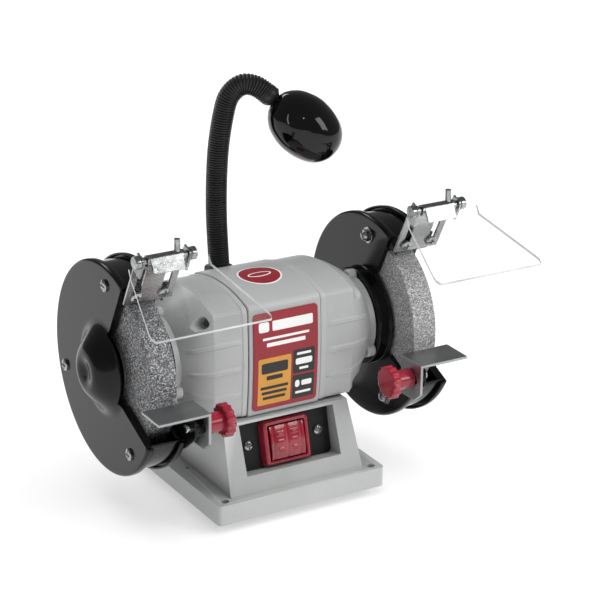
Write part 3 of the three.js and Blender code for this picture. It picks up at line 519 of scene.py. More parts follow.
print_red = printed("printed_vinyl_red", "#861422", "#921a28")
print_white = printed("printed_vinyl_white", "#e2e2e0", "#f0f0ee")
print_amber = printed("printed_vinyl_amber", "#c2872b", "#cf9433")
print_black = printed("printed_vinyl_black", "#0e0e10", "#171719")

# %% [markdown]
# A long lens from above and to the left keeps the two wheels nearly the same size. A camera is
# placed by three directions: forward, right and up, which are the columns of its matrix.

# %% Camera
CAMERA_PLACE = (-0.74116, -1.27370, 0.72553)
YAW, PITCH, ROLL = np.radians((30.815, 21.223, 0.774))
lens = bpy.data.cameras.new("camera")
lens.lens, lens.sensor_width = 132.68, 36.0
lens.shift_x, lens.shift_y = 0.0013, -0.0007
camera = bpy.data.objects.new("camera", lens)
bpy.context.scene.collection.objects.link(camera)
forward = np.array([np.sin(YAW) * np.cos(PITCH), np.cos(YAW) * np.cos(PITCH), -np.sin(PITCH)])
level = np.array([np.cos(YAW), -np.sin(YAW), 0.0])
above = np.cross(level, forward)
right = level * np.cos(ROLL) + above * np.sin(ROLL)
upward = above * np.cos(ROLL) - level * np.sin(ROLL)
camera.matrix_world = Matrix.Translation(CAMERA_PLACE) @ Matrix(
    np.stack([right, upward, -forward], 1).tolist()).to_4x4()
bpy.context.scene.camera = camera
bpy.context.scene.view_settings.view_transform = "Standard"

print(f"camera {lens.lens:.0f} mm, {np.degrees(YAW):.1f} degrees round, {np.degrees(PITCH):.1f} down")

# %% [markdown]
# The machine stands on a paper sweep lit from behind, as on a light table, which thins its shadow.
# One wide source overhead makes the upward faces brightest, and a weaker one from the right leaves
# the left flanks darker. Narrow panels give zinc and black enamel something to reflect.

# %% Floor and lights
floor_mesh = bpy.data.meshes.new("floor")
FLOOR = 6.0
floor_mesh.from_pydata(
    [(-FLOOR, -FLOOR, 0), (FLOOR, -FLOOR, 0), (FLOOR, FLOOR, 0), (-FLOOR, FLOOR, 0)], [], [(0, 1, 2, 3)])
floor = bpy.data.objects.new("floor", floor_mesh)
bpy.context.scene.collection.objects.link(floor)
floor_mesh.materials.append(textured(
    "backlit_paper_sweep", "#c2c2c2", "#c8c8c8", 400, 6, 0.02, (0.75, 0.9),
    {"Specular IOR Level": 0.1, "Emission Color": linear("#ffffff"), "Emission Strength": 0.52}))

world = bpy.data.worlds.new("studio")
world.use_nodes = True
world.node_tree.nodes["Background"].inputs["Color"].default_value = (1, 1, 1, 1)
world.node_tree.nodes["Background"].inputs["Strength"].default_value = 0.2
bpy.context.scene.world = world


def aim_light(kind, name, place, power):
    """A lamp of some kind, turned towards the middle of the machine."""
    lamp = bpy.data.lights.new(name, kind)
    lamp.energy = power
    holder = bpy.data.objects.new(name, lamp)
    bpy.context.scene.collection.objects.link(holder)
    holder.location = place
    holder.rotation_euler = (Vector((0, 0, 0.12)) - Vector(place)).to_track_quat("-Z", "Y").to_euler()
    return lamp


def softbox(name, place, size, power):
    """A rectangular lamp: its reflection is the long highlight seen in black enamel."""
    lamp = aim_light("AREA", name, place, power)
    lamp.shape, lamp.size, lamp.size_y = "RECTANGLE", *size


# The two wide sources only brighten; the panels are what shiny surfaces reflect.
SUNS = (("overhead", (0.1, -0.05, 2.0), 2.1, 70), ("key", (1.3, -0.8, 0.8), 1.5, 40))
for name, place, power, width in SUNS:
    aim_light("SUN", name, place, power).angle = np.radians(width)
    bpy.data.objects[name].visible_glossy = False
softbox("right_panel", (0.85, -1.25, 0.85), (0.5, 0.7), 5)
softbox("left_strip", (-1.5, -0.55, 0.75), (0.1, 0.9), 1.5)
softbox("rear_panel", (-0.2, 1.4, 1.2), (1.2, 0.3), 5)
softbox("small_lamp", (-0.5, -1.2, 1.3), (0.06, 0.06), 0.4)
print(f"{len(SUNS)} wide sources and 4 panels set")

# %% [markdown]
# The motor housing's outline is a box with a domed roof and slightly bulging sides. Its creases
# are rounded by averaging each outline point with its neighbours, as a foundry pattern is sanded.

# %% Motor outline
HALF_DEPTH, CREASE_Z, BOTTOM_Z = 40.5, 40.8, -42.2
ROOF_RISE, SIDE_BULGE = 7.5, 2.3
AROUND = 480


def bulge(along, half_chord, rise):
    """Height of a circular arc over its chord: sqrt(R^2 - along^2) - (R - rise)."""
    radius = (half_chord ** 2 + rise ** 2) / (2 * rise)
    return np.sqrt(radius ** 2 - along ** 2) - (radius - rise)


def motor_outline(grow=0.0, soft=3.0):
    """(y, z) points at equal steps round the housing, averaged over `soft` millimetres."""
    depth, top, low = HALF_DEPTH + grow, CREASE_Z + grow, BOTTOM_Z - grow
    middle, half = (top + low) / 2, (top - low) / 2
    z = np.linspace(low, top, 60)
    y = np.linspace(-depth, depth, 60)
    side = depth + bulge(z - middle, half, SIDE_BULGE)
    corners = np.concatenate([
        np.stack([-side, z], 1), np.stack([y, top + bulge(y, depth, ROOF_RISE)], 1),
        np.stack([side, z], 1)[::-1], np.stack([y[::-1], low + 0 * y], 1)])
    step = np.linalg.norm(np.diff(corners, axis=0, append=corners[:1]), axis=1)
    travel = np.concatenate([[0], np.cumsum(step)])
    even = np.linspace(0, travel[-1], AROUND, endpoint=False)
    ring = np.stack([
        np.interp(even, travel, np.append(corners[:, k], corners[0, k])) for k in (0, 1)], 1)
    reach = max(1, int(soft / travel[-1] * AROUND))
    return sum(np.roll(ring, k, 0) for k in range(-reach, reach + 1)) / (2 * reach + 1)


def ring_at(outline, x):
    """One row of a tube along the shaft: the outline at that x."""
    return np.concatenate([np.full((len(outline), 1), x), outline], 1)


print(f"motor outline is {2 * HALF_DEPTH + 2 * SIDE_BULGE:.0f} mm deep")

# %% [markdown]
# The centre shell is a ring with rounded rims. The bells meet it across a joint line, and a black
# ring sits a little below the surface in the gap as painted shade, so that the joint reads dark.

# %% Centre shell and the painted shade in its joints
SHELL_PROUD = 0.8
RIM = 0.9
rim_turn = np.linspace(0, np.pi / 2, 5)
SHELL_INSIDE = -2.2
half_rim = [(SHELL_PROUD - RIM + RIM * np.sin(a), SHELL_HALF - RIM + RIM * np.cos(a))
            for a in rim_turn]
wall_profile = half_rim + [(grow, -x) for grow, x in half_rim[::-1]]
wall_profile += [(SHELL_INSIDE, -SHELL_HALF), (SHELL_INSIDE, SHELL_HALF)]
shell_rows = [ring_at(motor_outline(grow), x) for grow, x in wall_profile]
make("motor_centre_shell", [(*surface(np.stack(shell_rows), True, True), grey_enamel)],
     "base", ["motor_shell"])
for hand, side in SIDES:
    # Painted shade: a black ring sunk in each joint, where the gap lies in shadow.
    near, far = SHELL_HALF - 0.1, BELL_START + 0.1
    seam = [ring_at(motor_outline(grow), x)
            for grow, x in ((-0.5, near), (-0.5, far), (-2.0, far), (-2.0, near))]
    make(f"shell_gasket_{hand}", [(*surface(np.stack(seam), True, True), moulded_black)],
         "base", side=side)

# %% [markdown]
# Each end bell runs straight, then tapers from the boxy outline to a round neck. Every point
# slides in a straight line from the outline to the circle, with a small swell added on the way.
# Three raised ribs run along the front and back and fade out where the bell turns round.

# %% End bells
NECK_R, NECK_START, BELL_STRAIGHT = 33.0, 79.0, 57.0
RIB_HEIGHTS, RIB_HALF, RIB_RISE = (17.5, -2.9, -22.0), 1.8, 0.95
BORE_R = 17.0
LIP_END, LIP_STEP = 34.0, 0.35  # the lip at the joint stands that much proud of the bell
BELL_WALL = 3.2


def bell_ribs(outline):
    """1 on a rib and 0 between: a smooth step on each side of every rib height."""
    z = outline[:, 1]
    on_side = np.abs(outline[:, 0]) > HALF_DEPTH - 1
    near = np.min([np.abs(z - height) for height in RIB_HEIGHTS], axis=0)
    return np.clip((RIB_HALF - near) / 0.7 + 0.5, 0, 1) * on_side


def bell_row(t, grow=0.0, rib=0.0, swell=1.6):
    """(1-t) outline + t circle, pushed out by a swell of sin(pi t) and by the ribs."""
    outline = motor_outline(grow)
    out = outline / np.linalg.norm(outline, axis=1, keepdims=True)
    return ((1 - t) * outline + t * NECK_R * out + out * swell * np.sin(np.pi * t)
            + out * (rib * RIB_RISE * bell_ribs(outline))[:, None])


def bell_shape():
    """Rows from the joint to the neck and back along the inner wall, as one closed ring."""
    rows = [ring_at(motor_outline(-RIM + RIM * np.sin(a)), BELL_START + RIM - RIM * np.cos(a))
            for a in rim_turn]
    rows.append(ring_at(motor_outline(0), LIP_END))
    rows.append(ring_at(motor_outline(-LIP_STEP), LIP_END + 0.5))
    rib_start = LIP_END + 1.5
    for x in np.linspace(rib_start, BELL_STRAIGHT - 0.6, 8):
        rows.append(ring_at(bell_row(0, -LIP_STEP, min(1, (x - rib_start) / 1.2)), x))
    for t in np.linspace(0, 1, 30):
        x = BELL_STRAIGHT + t * (NECK_START - BELL_STRAIGHT)
        fade = float(np.clip((0.85 - t) / 0.2, 0, 1))
        rows.append(ring_at(bell_row(t, -LIP_STEP * (1 - t), fade), x))
    out = motor_outline() / np.linalg.norm(motor_outline(), axis=1, keepdims=True)
    for radius, x in ((NECK_R, NECK_END - 0.8), (NECK_R - 0.8, NECK_END), (BORE_R, NECK_END),
                      (BORE_R, 69.5), (27, 68.5)):
        rows.append(ring_at(out * radius, x))
    rows.append(ring_at(motor_outline(-BELL_WALL), BELL_STRAIGHT - 2))
    rows.append(ring_at(motor_outline(-BELL_WALL), BELL_START))
    return surface(np.stack(rows), True, True)


LUG_R, LUG_START = 5.0, NECK_END - 7.0
LUG_ANGLES = (90, 210, 330)
POCKET_R, POCKET_START, POCKET_END = 4.7, 52, 75
POCKET_Y, POCKET_Z = (-34.6, 34.6), (34.2, -34.6)
lug_profile = soften([(0, LUG_START), (LUG_R, LUG_START), (LUG_R, NECK_END), (0, NECK_END)], 1.6)
bolt_pocket = turned(
    [(0, POCKET_START), (POCKET_R, POCKET_START), (POCKET_R, POCKET_END), (0, POCKET_END)], 40)
for hand, side in SIDES:
    bell = make(f"bell_housing_{hand}", [(*bell_shape(), grey_enamel)], "base",
                [f"end_bell_{hand}"], side)
    bell.modifiers.clear()
    cutters = [(bolt_pocket[0] + (0, y, z), bolt_pocket[1], moulded_black)
               for y in POCKET_Y for z in POCKET_Z]
    cutter = make(f"pocket_tool_{hand}", cutters, "base", side=side)
    cutter.modifiers.clear()
    pocket = bell.modifiers.new("bolt pockets", "BOOLEAN")
    pocket.operation, pocket.object, pocket.solver = "DIFFERENCE", cutter, "EXACT"
    done = bpy.data.meshes.new_from_object(bell.evaluated_get(bpy.context.evaluated_depsgraph_get()))
    bell.modifiers.clear()
    bell.data = done
    bpy.data.objects.remove(cutter)
    print(f"bell {hand}: {len(done.polygons)} faces after its bolt pockets are cut")
    lugs = []
    for turn in np.radians(LUG_ANGLES):
        points, faces = turned(lug_profile, 32)
        lugs.append((points + (0, NECK_R * np.cos(turn), NECK_R * np.sin(turn)), faces, grey_enamel))
    make(f"clamp_lugs_{hand}", lugs, "base", side=side)

# %% [markdown]
# The label is a printed film that follows the curve of the shell. Every block of print is a thin
# patch just proud of the film, so no image is needed. The layout is generic: bars and blocks only.

# %% Label on the front of the shell
SHELL_MIDDLE = (CREASE_Z + BOTTOM_Z) / 2
SHELL_CHORD = (CREASE_Z - BOTTOM_Z) / 2 + SHELL_PROUD


def shell_front(z, lift):
    """y on the front of the shell: minus (half depth + arc at that height + lift)."""
    return -(HALF_DEPTH + SHELL_PROUD + bulge(z - SHELL_MIDDLE, SHELL_CHORD, SIDE_BULGE) + lift)


def shell_roof(y, lift):
    """z on the roof of the shell, an arc over its depth."""
    return CREASE_Z + SHELL_PROUD + bulge(y, HALF_DEPTH + SHELL_PROUD, ROOF_RISE) + lift


def shell_patch(low, high, radius, lift, finish, under=0.05):
    """A rounded patch on the front: rows climb in z and shrink in x by r - sqrt(r^2 - d^2)."""
    (x0, z0), (x1, z1) = low, high
    turn = 1 - np.cos(np.linspace(0, np.pi / 2, 6))
    z = np.concatenate([z0 + radius * turn, np.linspace(z0 + radius, z1 - radius, 14)[1:-1],
                        (z1 - radius * turn)[::-1]])
    near = np.minimum(z - z0, z1 - z)
    short = np.clip(radius - near, 0, radius)
    half = (x1 - x0) / 2 - (radius - np.sqrt(np.maximum(radius ** 2 - short ** 2, 0)))
    x = (x0 + x1) / 2 + half[:, None] * np.linspace(-1, 1, 12)
    tall = z[:, None] + 0 * x
    skins = [np.stack([x, shell_front(tall, up), tall], -1) for up in (lift, lift - under)]
    return (*slab(*skins), finish)


LABEL_LOW, LABEL_HIGH = (-26.5, -38.5), (26.5, 36.0)
LABEL_LIFT, PRINT_LIFT = 0.85, 0.91


def label_bar(left, right, top, foot, finish, radius=0.5, lift=PRINT_LIFT):
    """A patch given as fractions of the label: across from the left and down from the top."""
    (x0, z0), (x1, z1) = LABEL_LOW, LABEL_HIGH
    low = (x0 + left * (x1 - x0), z1 - foot * (z1 - z0))
    high = (x0 + right * (x1 - x0), z1 - top * (z1 - z0))
    return shell_patch(low, high, radius, lift, finish)


OVER_LIFT = PRINT_LIFT + 0.06  # print that lies on print
LABEL_BLOCKS = (  # left, right, top, foot, print, corner radius, lift
    (0.08, 0.24, 0.09, 0.19, print_white, 1.6),
    (0.29, 0.92, 0.09, 0.19, print_white, 1.0),
    (0.14, 0.86, 0.25, 0.275, print_white),
    (0.2, 0.8, 0.305, 0.345, print_white),
    (0.07, 0.58, 0.46, 0.95, print_amber, 1.2),
    (0.61, 0.95, 0.43, 0.68, print_black, 1.2),
    (0.61, 0.95, 0.70, 0.95, print_black, 1.2),
    (0.12, 0.53, 0.51, 0.62, print_black, 1.5, OVER_LIFT),
    (0.2, 0.45, 0.645, 0.69, print_black, 0.8, OVER_LIFT),
    (0.11, 0.54, 0.755, 0.785, print_black, 0.5, OVER_LIFT),
    (0.13, 0.52, 0.81, 0.84, print_black, 0.5, OVER_LIFT),
    (0.15, 0.5, 0.865, 0.895, print_black, 0.5, OVER_LIFT),
    (0.67, 0.89, 0.465, 0.49, print_white, 0.4, OVER_LIFT),
    (0.65, 0.91, 0.525, 0.59, print_white, 1.4, OVER_LIFT),
    (0.71, 0.85, 0.62, 0.645, print_white, 0.4, OVER_LIFT),
    (0.65, 0.72, 0.755, 0.83, print_white, 1.8, OVER_LIFT),
    (0.75, 0.91, 0.765, 0.82, print_white, 1.0, OVER_LIFT),
    (0.66, 0.9, 0.875, 0.9, print_white, 0.4, OVER_LIFT))
label_parts = [shell_patch(LABEL_LOW, LABEL_HIGH, 3.0, LABEL_LIFT, print_red, under=0.8)]
label_parts += [label_bar(*block) for block in LABEL_BLOCKS]
make("front_label", label_parts, "base", ["nameplate"])

# %% [markdown]
# The roof carries a second, round sticker. Its points are a polar grid dropped on to the roof arc.

# %% Roof badge
BADGE_CENTRE, BADGE_R = (1.0, -3.0), 16.5


def roof_disc(radius, lift, finish, squeeze=1.0, under=0.05):
    """Point (r, a) is (cx + r cos a, cy + squeeze r sin a), lifted off the roof at that y."""
    r = np.linspace(0, radius, 10)[:, None]
    a = np.linspace(0, 2 * np.pi, 72, endpoint=False)
    x, y = BADGE_CENTRE[0] + r * np.cos(a), BADGE_CENTRE[1] + squeeze * r * np.sin(a)
    top = np.stack([x, y, shell_roof(y, lift)], -1)
    low = np.stack([x, y, shell_roof(y, lift - under)], -1)
    return (*surface(np.concatenate([top, low[::-1]]), False, True), finish)


make("roof_badge", [
    roof_disc(BADGE_R, 0.25, print_white, under=0.23), roof_disc(BADGE_R - 1.3, 0.31, print_red),
    roof_disc(9.5, 0.37, print_white, 0.42), roof_disc(8.3, 0.43, print_red, 0.34)],
    "base")

# %% [markdown]
# The wheels are turned shapes with a small chamfer, which is how a dressed wheel really looks.

# %% Wheels
BORE = 6.3
wheel_profile = soften(
    [(BORE, WHEEL_IN), (WHEEL_R, WHEEL_IN), (WHEEL_R, WHEEL_OUT), (BORE, WHEEL_OUT)],
    1.1, 3, closed=True)
for (hand, side), grit, slot in zip(SIDES, (coarse_grit, fine_grit), ("coarse_grit", "fine_grit")):
    make(f"grinding_wheel_{hand}", [(*turned(wheel_profile, 180, closed=True), grit)],
         "rotor", [f"wheel_{hand}"], side)

# %% [markdown]
# Screw heads share one shape: a low dome with a cross pressed into it. The dome is a polar grid,
# and the cross sinks every grid point that lies near either arm.

# %% Screws and flat tablets
def pan_head(radius, height, origin, axis, finish):
    """Height over the seat is h (1 - 0.45 (r/R)^3), less the depth of the cross."""
    r = np.linspace(0, radius, 16)[:, None]
    a = np.linspace(0, 2 * np.pi, 64, endpoint=False)
    u, v = r * np.cos(a), r * np.sin(a)
    arm = 0.13 * radius
    cross = np.maximum(np.clip((arm - np.abs(u)) / 0.25 + 0.5, 0, 1) * (np.abs(v) < 0.62 * radius),
                       np.clip((arm - np.abs(v)) / 0.25 + 0.5, 0, 1) * (np.abs(u) < 0.62 * radius))
    tall = height * (1 - 0.45 * (r / radius) ** 3) - 0.55 * height * cross
    crown = np.stack([tall, u, v], -1)
    rim = np.stack([0 * a, radius * np.cos(a), radius * np.sin(a)], -1)[None]
    seat = rim * (1, 0, 0)
    points, faces = surface(np.concatenate([crown, rim, seat]), False, True)
    return aimed(points, origin, axis), faces, finish


def tablet(outline, low, high, edge, finish):
    """A flat piece along x: the outline shrinks towards each face, as a quarter circle does."""
    outline = np.asarray(outline, float)
    ahead, behind = np.roll(outline, -1, 0) - outline, outline - np.roll(outline, 1, 0)
    run = ahead / np.linalg.norm(ahead, axis=1, keepdims=True)
    run = run + behind / np.linalg.norm(behind, axis=1, keepdims=True)
    inward = np.stack([-run[:, 1], run[:, 0]], 1) / np.linalg.norm(run, axis=1, keepdims=True)
    middle = outline.mean(0)
    if ((middle - outline) * inward).sum() < 0:
        inward = -inward
    rows = [np.full((len(outline), 2), middle)]
    places = [low]
    for a in np.linspace(0, np.pi / 2, 4):
        rows.append(outline + inward * edge * (1 - np.sin(a)))
        places.append(low + edge * (1 - np.cos(a)))
    rows += rows[:0:-1]
    places += [high + low - p for p in places[:0:-1]]
    rows.append(rows[0])
    places.append(high)
    grid = np.stack([ring_at(row, x) for row, x in zip(rows, places)])
    return (*surface(grid, False, True), finish)


def disc_outline(radius, y, z, count=48, lobes=0, depth=0.0):
    """(y, z) points of a circle whose radius waves in and out `lobes` times."""
    a = np.linspace(0, 2 * np.pi, count, endpoint=False)
    reach = radius + depth * np.cos(lobes * a)
    return np.stack([y + reach * np.cos(a), z + reach * np.sin(a)], 1)


# %% [markdown]
# A guard plate is a disc pressed from sheet, with a wedge cut out of it for the work. Each grid
# row is one radius, and its columns run between the two angles where the cuts cross that radius.
# Over the hub the row goes all the way round. The cut edges are folded inward to stiffen them.

# %% Guard plates
MOUTH_TOP = ((-10.5, 29.7), (-43.0, 91.9))
MOUTH_LOW = ((-28.1, -18.1), (-101.5, -50.1))
SHEET, FOLD = 1.5, 6.0
PRESS_R = 2.2  # the rim's bend
RIM_STEPS = (3.6, 5.0)
SECTOR_COLUMNS, MOUTH_COLUMNS = 150, 60


def cut_angle(line, radius):
    """The angle where a straight cut crosses a radius: |a + t (b - a)| = r, solved for t."""
    start, along = np.array(line[0]), np.array(line[1]) - line[0]
    square, cross = along @ along, start @ along
    inside = np.maximum(cross ** 2 - square * (start @ start - radius ** 2), 0)
    t = np.maximum((-cross + np.sqrt(inside)) / square, 0)
    place = start + t[:, None] * along
    return np.arctan2(place[:, 1], place[:, 0])


def pressed_plate(radius, x, hub, fold):
    """A polar sheet from (radius, x) rows, open at the mouth beyond the hub, with folded edges."""
    low = cut_angle(MOUTH_LOW, radius) - 2 * np.pi
    low = np.where(low < -2 * np.pi, low + 2 * np.pi, low)
    top = cut_angle(MOUTH_TOP, radius)
    part = np.linspace(0, 1, SECTOR_COLUMNS)
    angle = low[:, None] + (top - low)[:, None] * part
    rest = (low + 2 * np.pi - top)[:, None]
    closing = top[:, None] + rest * np.linspace(0, 1, MOUTH_COLUMNS)[1:-1]
    everything = np.concatenate([angle, closing], 1)
    deep = x[:, None] + 0 * everything
    reach = radius[:, None]
    grid = np.stack([deep, reach * np.cos(everything), reach * np.sin(everything)], -1)
    points, faces = surface(grid, False, True)
    columns = everything.shape[1]
    row, column = np.divmod(faces[:, 0], columns)
    outer = radius[np.minimum(row + 1, len(radius) - 1)]
    faces = faces[(column < SECTOR_COLUMNS - 1) | (outer <= hub + WELD)]
    extra, joined = [], []
    beyond = np.flatnonzero(radius >= hub - WELD)
    # The fold is as deep as it goes except near the rim and the hub, where it runs out over 4 mm.
    depth = (np.abs(fold) * np.clip((GUARD_R - PRESS_R - radius[beyond]) / 4, 0, 1)
             * np.clip((radius[beyond] - hub) / 4, 0, 1))
    drop = np.array([0.5, 1.2, 2.2, 4.0, 6.0]) / 6
    for edge_column in (0, SECTOR_COLUMNS - 1):
        edge = grid[beyond, edge_column]
        sheet = np.stack([
            edge + np.stack([np.sign(fold) * d * depth, 0 * depth, 0 * depth], 1) for d in drop], 1)
        first = len(points) + sum(len(e) for e in extra)
        numbers = first + np.arange(sheet.shape[0] * len(drop)).reshape(-1, len(drop))
        strip = np.concatenate([(beyond * columns + edge_column)[:, None], numbers], 1)
        corners = [strip[:-1, :-1], strip[1:, :-1], strip[1:, 1:], strip[:-1, 1:]]
        joined.append(np.stack(corners, -1).reshape(-1, 4))
        extra.append(sheet.reshape(-1, 3))
    return np.concatenate([points, *extra]), np.concatenate([faces, *joined])


DIMPLE_R, DIMPLE_DEPTH, SKIRT = 12, 3, 24.5


def dome_height(r):
    """A cosine skirt, rise (1 + cos) / 2, round a dimple whose floor is also half a cosine."""
    skirt = DOME_RISE * (1 + np.cos(np.pi * np.clip((r - DIMPLE_R) / SKIRT, 0, 1))) / 2
    dimple = DOME_RISE - DIMPLE_DEPTH + DIMPLE_DEPTH * (1 - np.cos(np.pi * r / DIMPLE_R)) / 2
    return np.where(r < DIMPLE_R, dimple, skirt)


bend = np.linspace(0, np.pi / 2, 6)
COVER_HUB, INNER_HUB = 31.5, 39.0
FLAT_R = GUARD_R - PRESS_R  # where the flat ends and the rim's bend starts
cover_r = np.concatenate([
    np.linspace(0, COVER_HUB, 34), np.linspace(COVER_HUB, FLAT_R, 34)[1:],
    FLAT_R + PRESS_R * np.sin(bend)[1:], [GUARD_R, GUARD_R]])
cover_x = COVER_FACE + dome_height(cover_r)
cover_x[-7:] = [*(COVER_FACE - PRESS_R + PRESS_R * np.cos(bend)[1:]),
                *(COVER_FACE - step for step in RIM_STEPS)]
inner_profile = np.concatenate([
    soften([(14, CUP_FACE), (37, CUP_FACE), (37, PLATE_FACE), (INNER_HUB, PLATE_FACE)], 1.6, 5),
    [(r, PLATE_FACE) for r in np.linspace(INNER_HUB, FLAT_R, 26)[1:]],
    [(FLAT_R + PRESS_R * np.sin(a), PLATE_FACE + PRESS_R - PRESS_R * np.cos(a)) for a in bend[1:]],
    [(GUARD_R, PLATE_FACE + step) for step in RIM_STEPS]])
SCREW_R, SCREW_ANGLES = 65.0, (84, 198, -50)
for hand, side in SIDES:
    make(f"pressed_cover_{hand}", [(*pressed_plate(cover_r, cover_x, COVER_HUB, -FOLD), black_enamel)],
         "base", [f"guard_cover_{hand}"], side, wall=SHEET, away_from=(0, 0, 0))
    seats = [(COVER_FACE, -SCREW_R * np.cos(a), SCREW_R * np.sin(a)) for a in np.radians(SCREW_ANGLES)]
    heads = [pan_head(4.4, 2.4, seat, (1, 0, 0), turned_zinc) for seat in seats]
    make(f"cover_screws_{hand}", heads, "base", side=side)

# %% [markdown]
# The inner plate carries a cup over the motor's neck and an arm for the tool rest. A band joins it
# to the cover and shuts in the wheel. A tongue on the band, stiffened by a web, takes the shield's
# bracket, and two dome nuts hold the plate.

# %% Inner plates and bands
REST_ARM = [(-48, -28.5), (-70, -12.5), (-84, -14.5), (-84, -28), (-66, -43), (-48, -43)]
BOLT_Y, BOLT_Z = -77.0, -21.7
BAND_R, BAND_END = 75.2, 119.5
band_low = cut_angle(MOUTH_LOW, np.array([BAND_R]))[0]
if band_low >= 0:
    band_low -= 2 * np.pi
band_angles = np.linspace(band_low, np.radians(BAND_END), 150)
band_x = np.linspace(PLATE_FACE + 1.8, COVER_FACE - PRESS_R, 12)[:, None]
band_grid = np.stack([band_x + 0 * band_angles, BAND_R * np.cos(band_angles) + 0 * band_x,
                      BAND_R * np.sin(band_angles) + 0 * band_x], -1)
WEB = [(-28, 62), (-28, 69), (-40.2, 64.3), (-37.8, 58.9)]
BRACKET_X, BRACKET_Y, BRACKET_Z = 109.2, -41.3, 63.5
BRACKET_LEAN = np.radians(27.6)
NUT_R, NUT_ANGLES = 64.0, (87, -58)
DOME_FOOT = PLATE_FACE - 3.4
dome_nut = [(3.6 * np.sin(a), DOME_FOOT - 2.6 * np.cos(a)) for a in np.linspace(0, np.pi / 2, 8)]
dome_nut.append((0, DOME_FOOT))


def leaned(points, origin, lean):
    """Turns points about the x axis by an angle, then moves them to an origin."""
    turn = np.array(Matrix.Rotation(lean, 3, "X"))
    return np.asarray(points) @ turn.T + np.asarray(origin)


for hand, side in SIDES:
    inner = pressed_plate(inner_profile[:, 0], inner_profile[:, 1], INNER_HUB, FOLD)
    make(f"pressed_inner_plate_{hand}", [(*inner, black_enamel)],
         "base", [f"guard_inner_{hand}"], side, wall=SHEET, away_from=(200, 0, 0))
    arm = tablet(soften(REST_ARM, 3, 5, closed=True), PLATE_FACE, PLATE_FACE + SHEET, 0.4, black_enamel)
    boss_low = box_mm("rest_right")[0][0] + 2.3
    boss_profile = [(3.4, boss_low), (7, boss_low), (7, PLATE_FACE + 0.5), (3.4, PLATE_FACE + 0.5)]
    points, faces = turned(soften(boss_profile, 0.6, 3, closed=True), 48, closed=True)
    boss = (points + (0, BOLT_Y, BOLT_Z), faces, black_enamel)
    make(f"rest_arm_{hand}", [arm, boss], "base", side=side)
    make(f"guard_strip_{hand}", [(*surface(band_grid), black_enamel)],
         "base", [f"guard_band_{hand}"], side, wall=SHEET, away_from=(BRACKET_X, 0, 0))
    points, faces = rounded_box((-13.8, 0.3, -3.5), (12.6, 2.1, 13), 0.8)
    tongue = (leaned(points, (BRACKET_X, BRACKET_Y, BRACKET_Z), BRACKET_LEAN), faces, black_enamel)
    web = tablet(WEB, PLATE_FACE + 1.8, PLATE_FACE + 3.3, 0.3, black_enamel)
    make(f"bracket_tongue_{hand}", [tongue, web], "base", side=side)
    nuts = []
    for a in np.radians(NUT_ANGLES):
        y, z = -NUT_R * np.cos(a), NUT_R * np.sin(a)
        washer, hexagon = disc_outline(6.2, y, z), disc_outline(4.6, y, z, 6)
        nuts.append(tablet(washer, PLATE_FACE - 0.8, PLATE_FACE - 0.02, 0.2, turned_zinc))
        nuts.append(tablet(hexagon, PLATE_FACE - 3.6, PLATE_FACE - 0.8, 0.4, turned_zinc))
        points, faces = turned(dome_nut, 32)
        nuts.append((points + (0, y, z), faces, turned_zinc))
    make(f"dome_nuts_{hand}", nuts, "base", side=side)

# %% [markdown]
# The shield bracket is punched from zinc-plated sheet. It slides on two cross-head screws, and a
# rod between its ears carries the clamp that holds the clear shield.

# %% Shield brackets, screws and rods
SLOT_X, SCREW_Z = 10.6, 7.0
ROD_Y, ROD_Z = -6.0, 47.0
SHIELD_SLOPE = np.radians(19)
front_edge = Vector((0, -np.cos(SHIELD_SLOPE), -np.sin(SHIELD_SLOPE)))
rod_half = [(2.5, 18.7), (4.6, 18.7), (4.6, 23.0), (0, 23.0)]
rod_profile = np.array([(r, -x) for r, x in rod_half[::-1]] + rod_half)
for hand, side in SIDES:
    bracket_place = (side * BRACKET_X, BRACKET_Y, BRACKET_Z)
    bracket_body = f"shield_bracket_{hand}"
    eased(f"bracket_{hand}", rolled_zinc, 0.35, name=f"punched_bracket_{hand}")
    for place, step in (("outer", side), ("inner", -side)):
        seat = leaned([(step * SLOT_X, -1.8, SCREW_Z)], bracket_place, BRACKET_LEAN)[0]
        axis = leaned([(0, -1, 0)], (0, 0, 0), BRACKET_LEAN)[0]
        head = pan_head(4.2, 2.5, seat, axis, turned_zinc)
        points, faces = turned([(0, 0), (2, 0), (2, 8.6), (0, 8.6)], 24)
        shank = (aimed(points, seat, -axis), faces, turned_zinc)
        node_name = f"bracket_screw_{hand}_{place}"
        make(f"cross_head_screw_{hand}_{place}", [head, shank],
             frame["nodes"][node_name]["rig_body"], [node_name])
    points, faces = turned(soften(rod_profile, 0.7, 3), 40)
    middle = leaned([(0, ROD_Y, ROD_Z)], bracket_place, BRACKET_LEAN)[0]
    make(f"pivot_rod_{hand}", [(points + middle, faces, turned_zinc)], bracket_body,
         [f"shield_rod_{hand}"])
    eased(f"shield_clamp_{hand}", turned_zinc, 0.4, name=f"clamp_and_thumbscrew_{hand}")
    shield = eased(f"eye_shield_{hand}", polycarbonate, 0.25, name=f"clear_shield_{hand}")
    shield.data.materials.append(sawn_edge)
    for face in shield.data.polygons:
        if abs(face.normal.x) > 0.3 or face.normal.dot(front_edge) > 0.9:
            face.material_index = 1

# %% [markdown]
# A tool rest is a plate folded from thicker sheet. The red star knob clamps it through the slot.

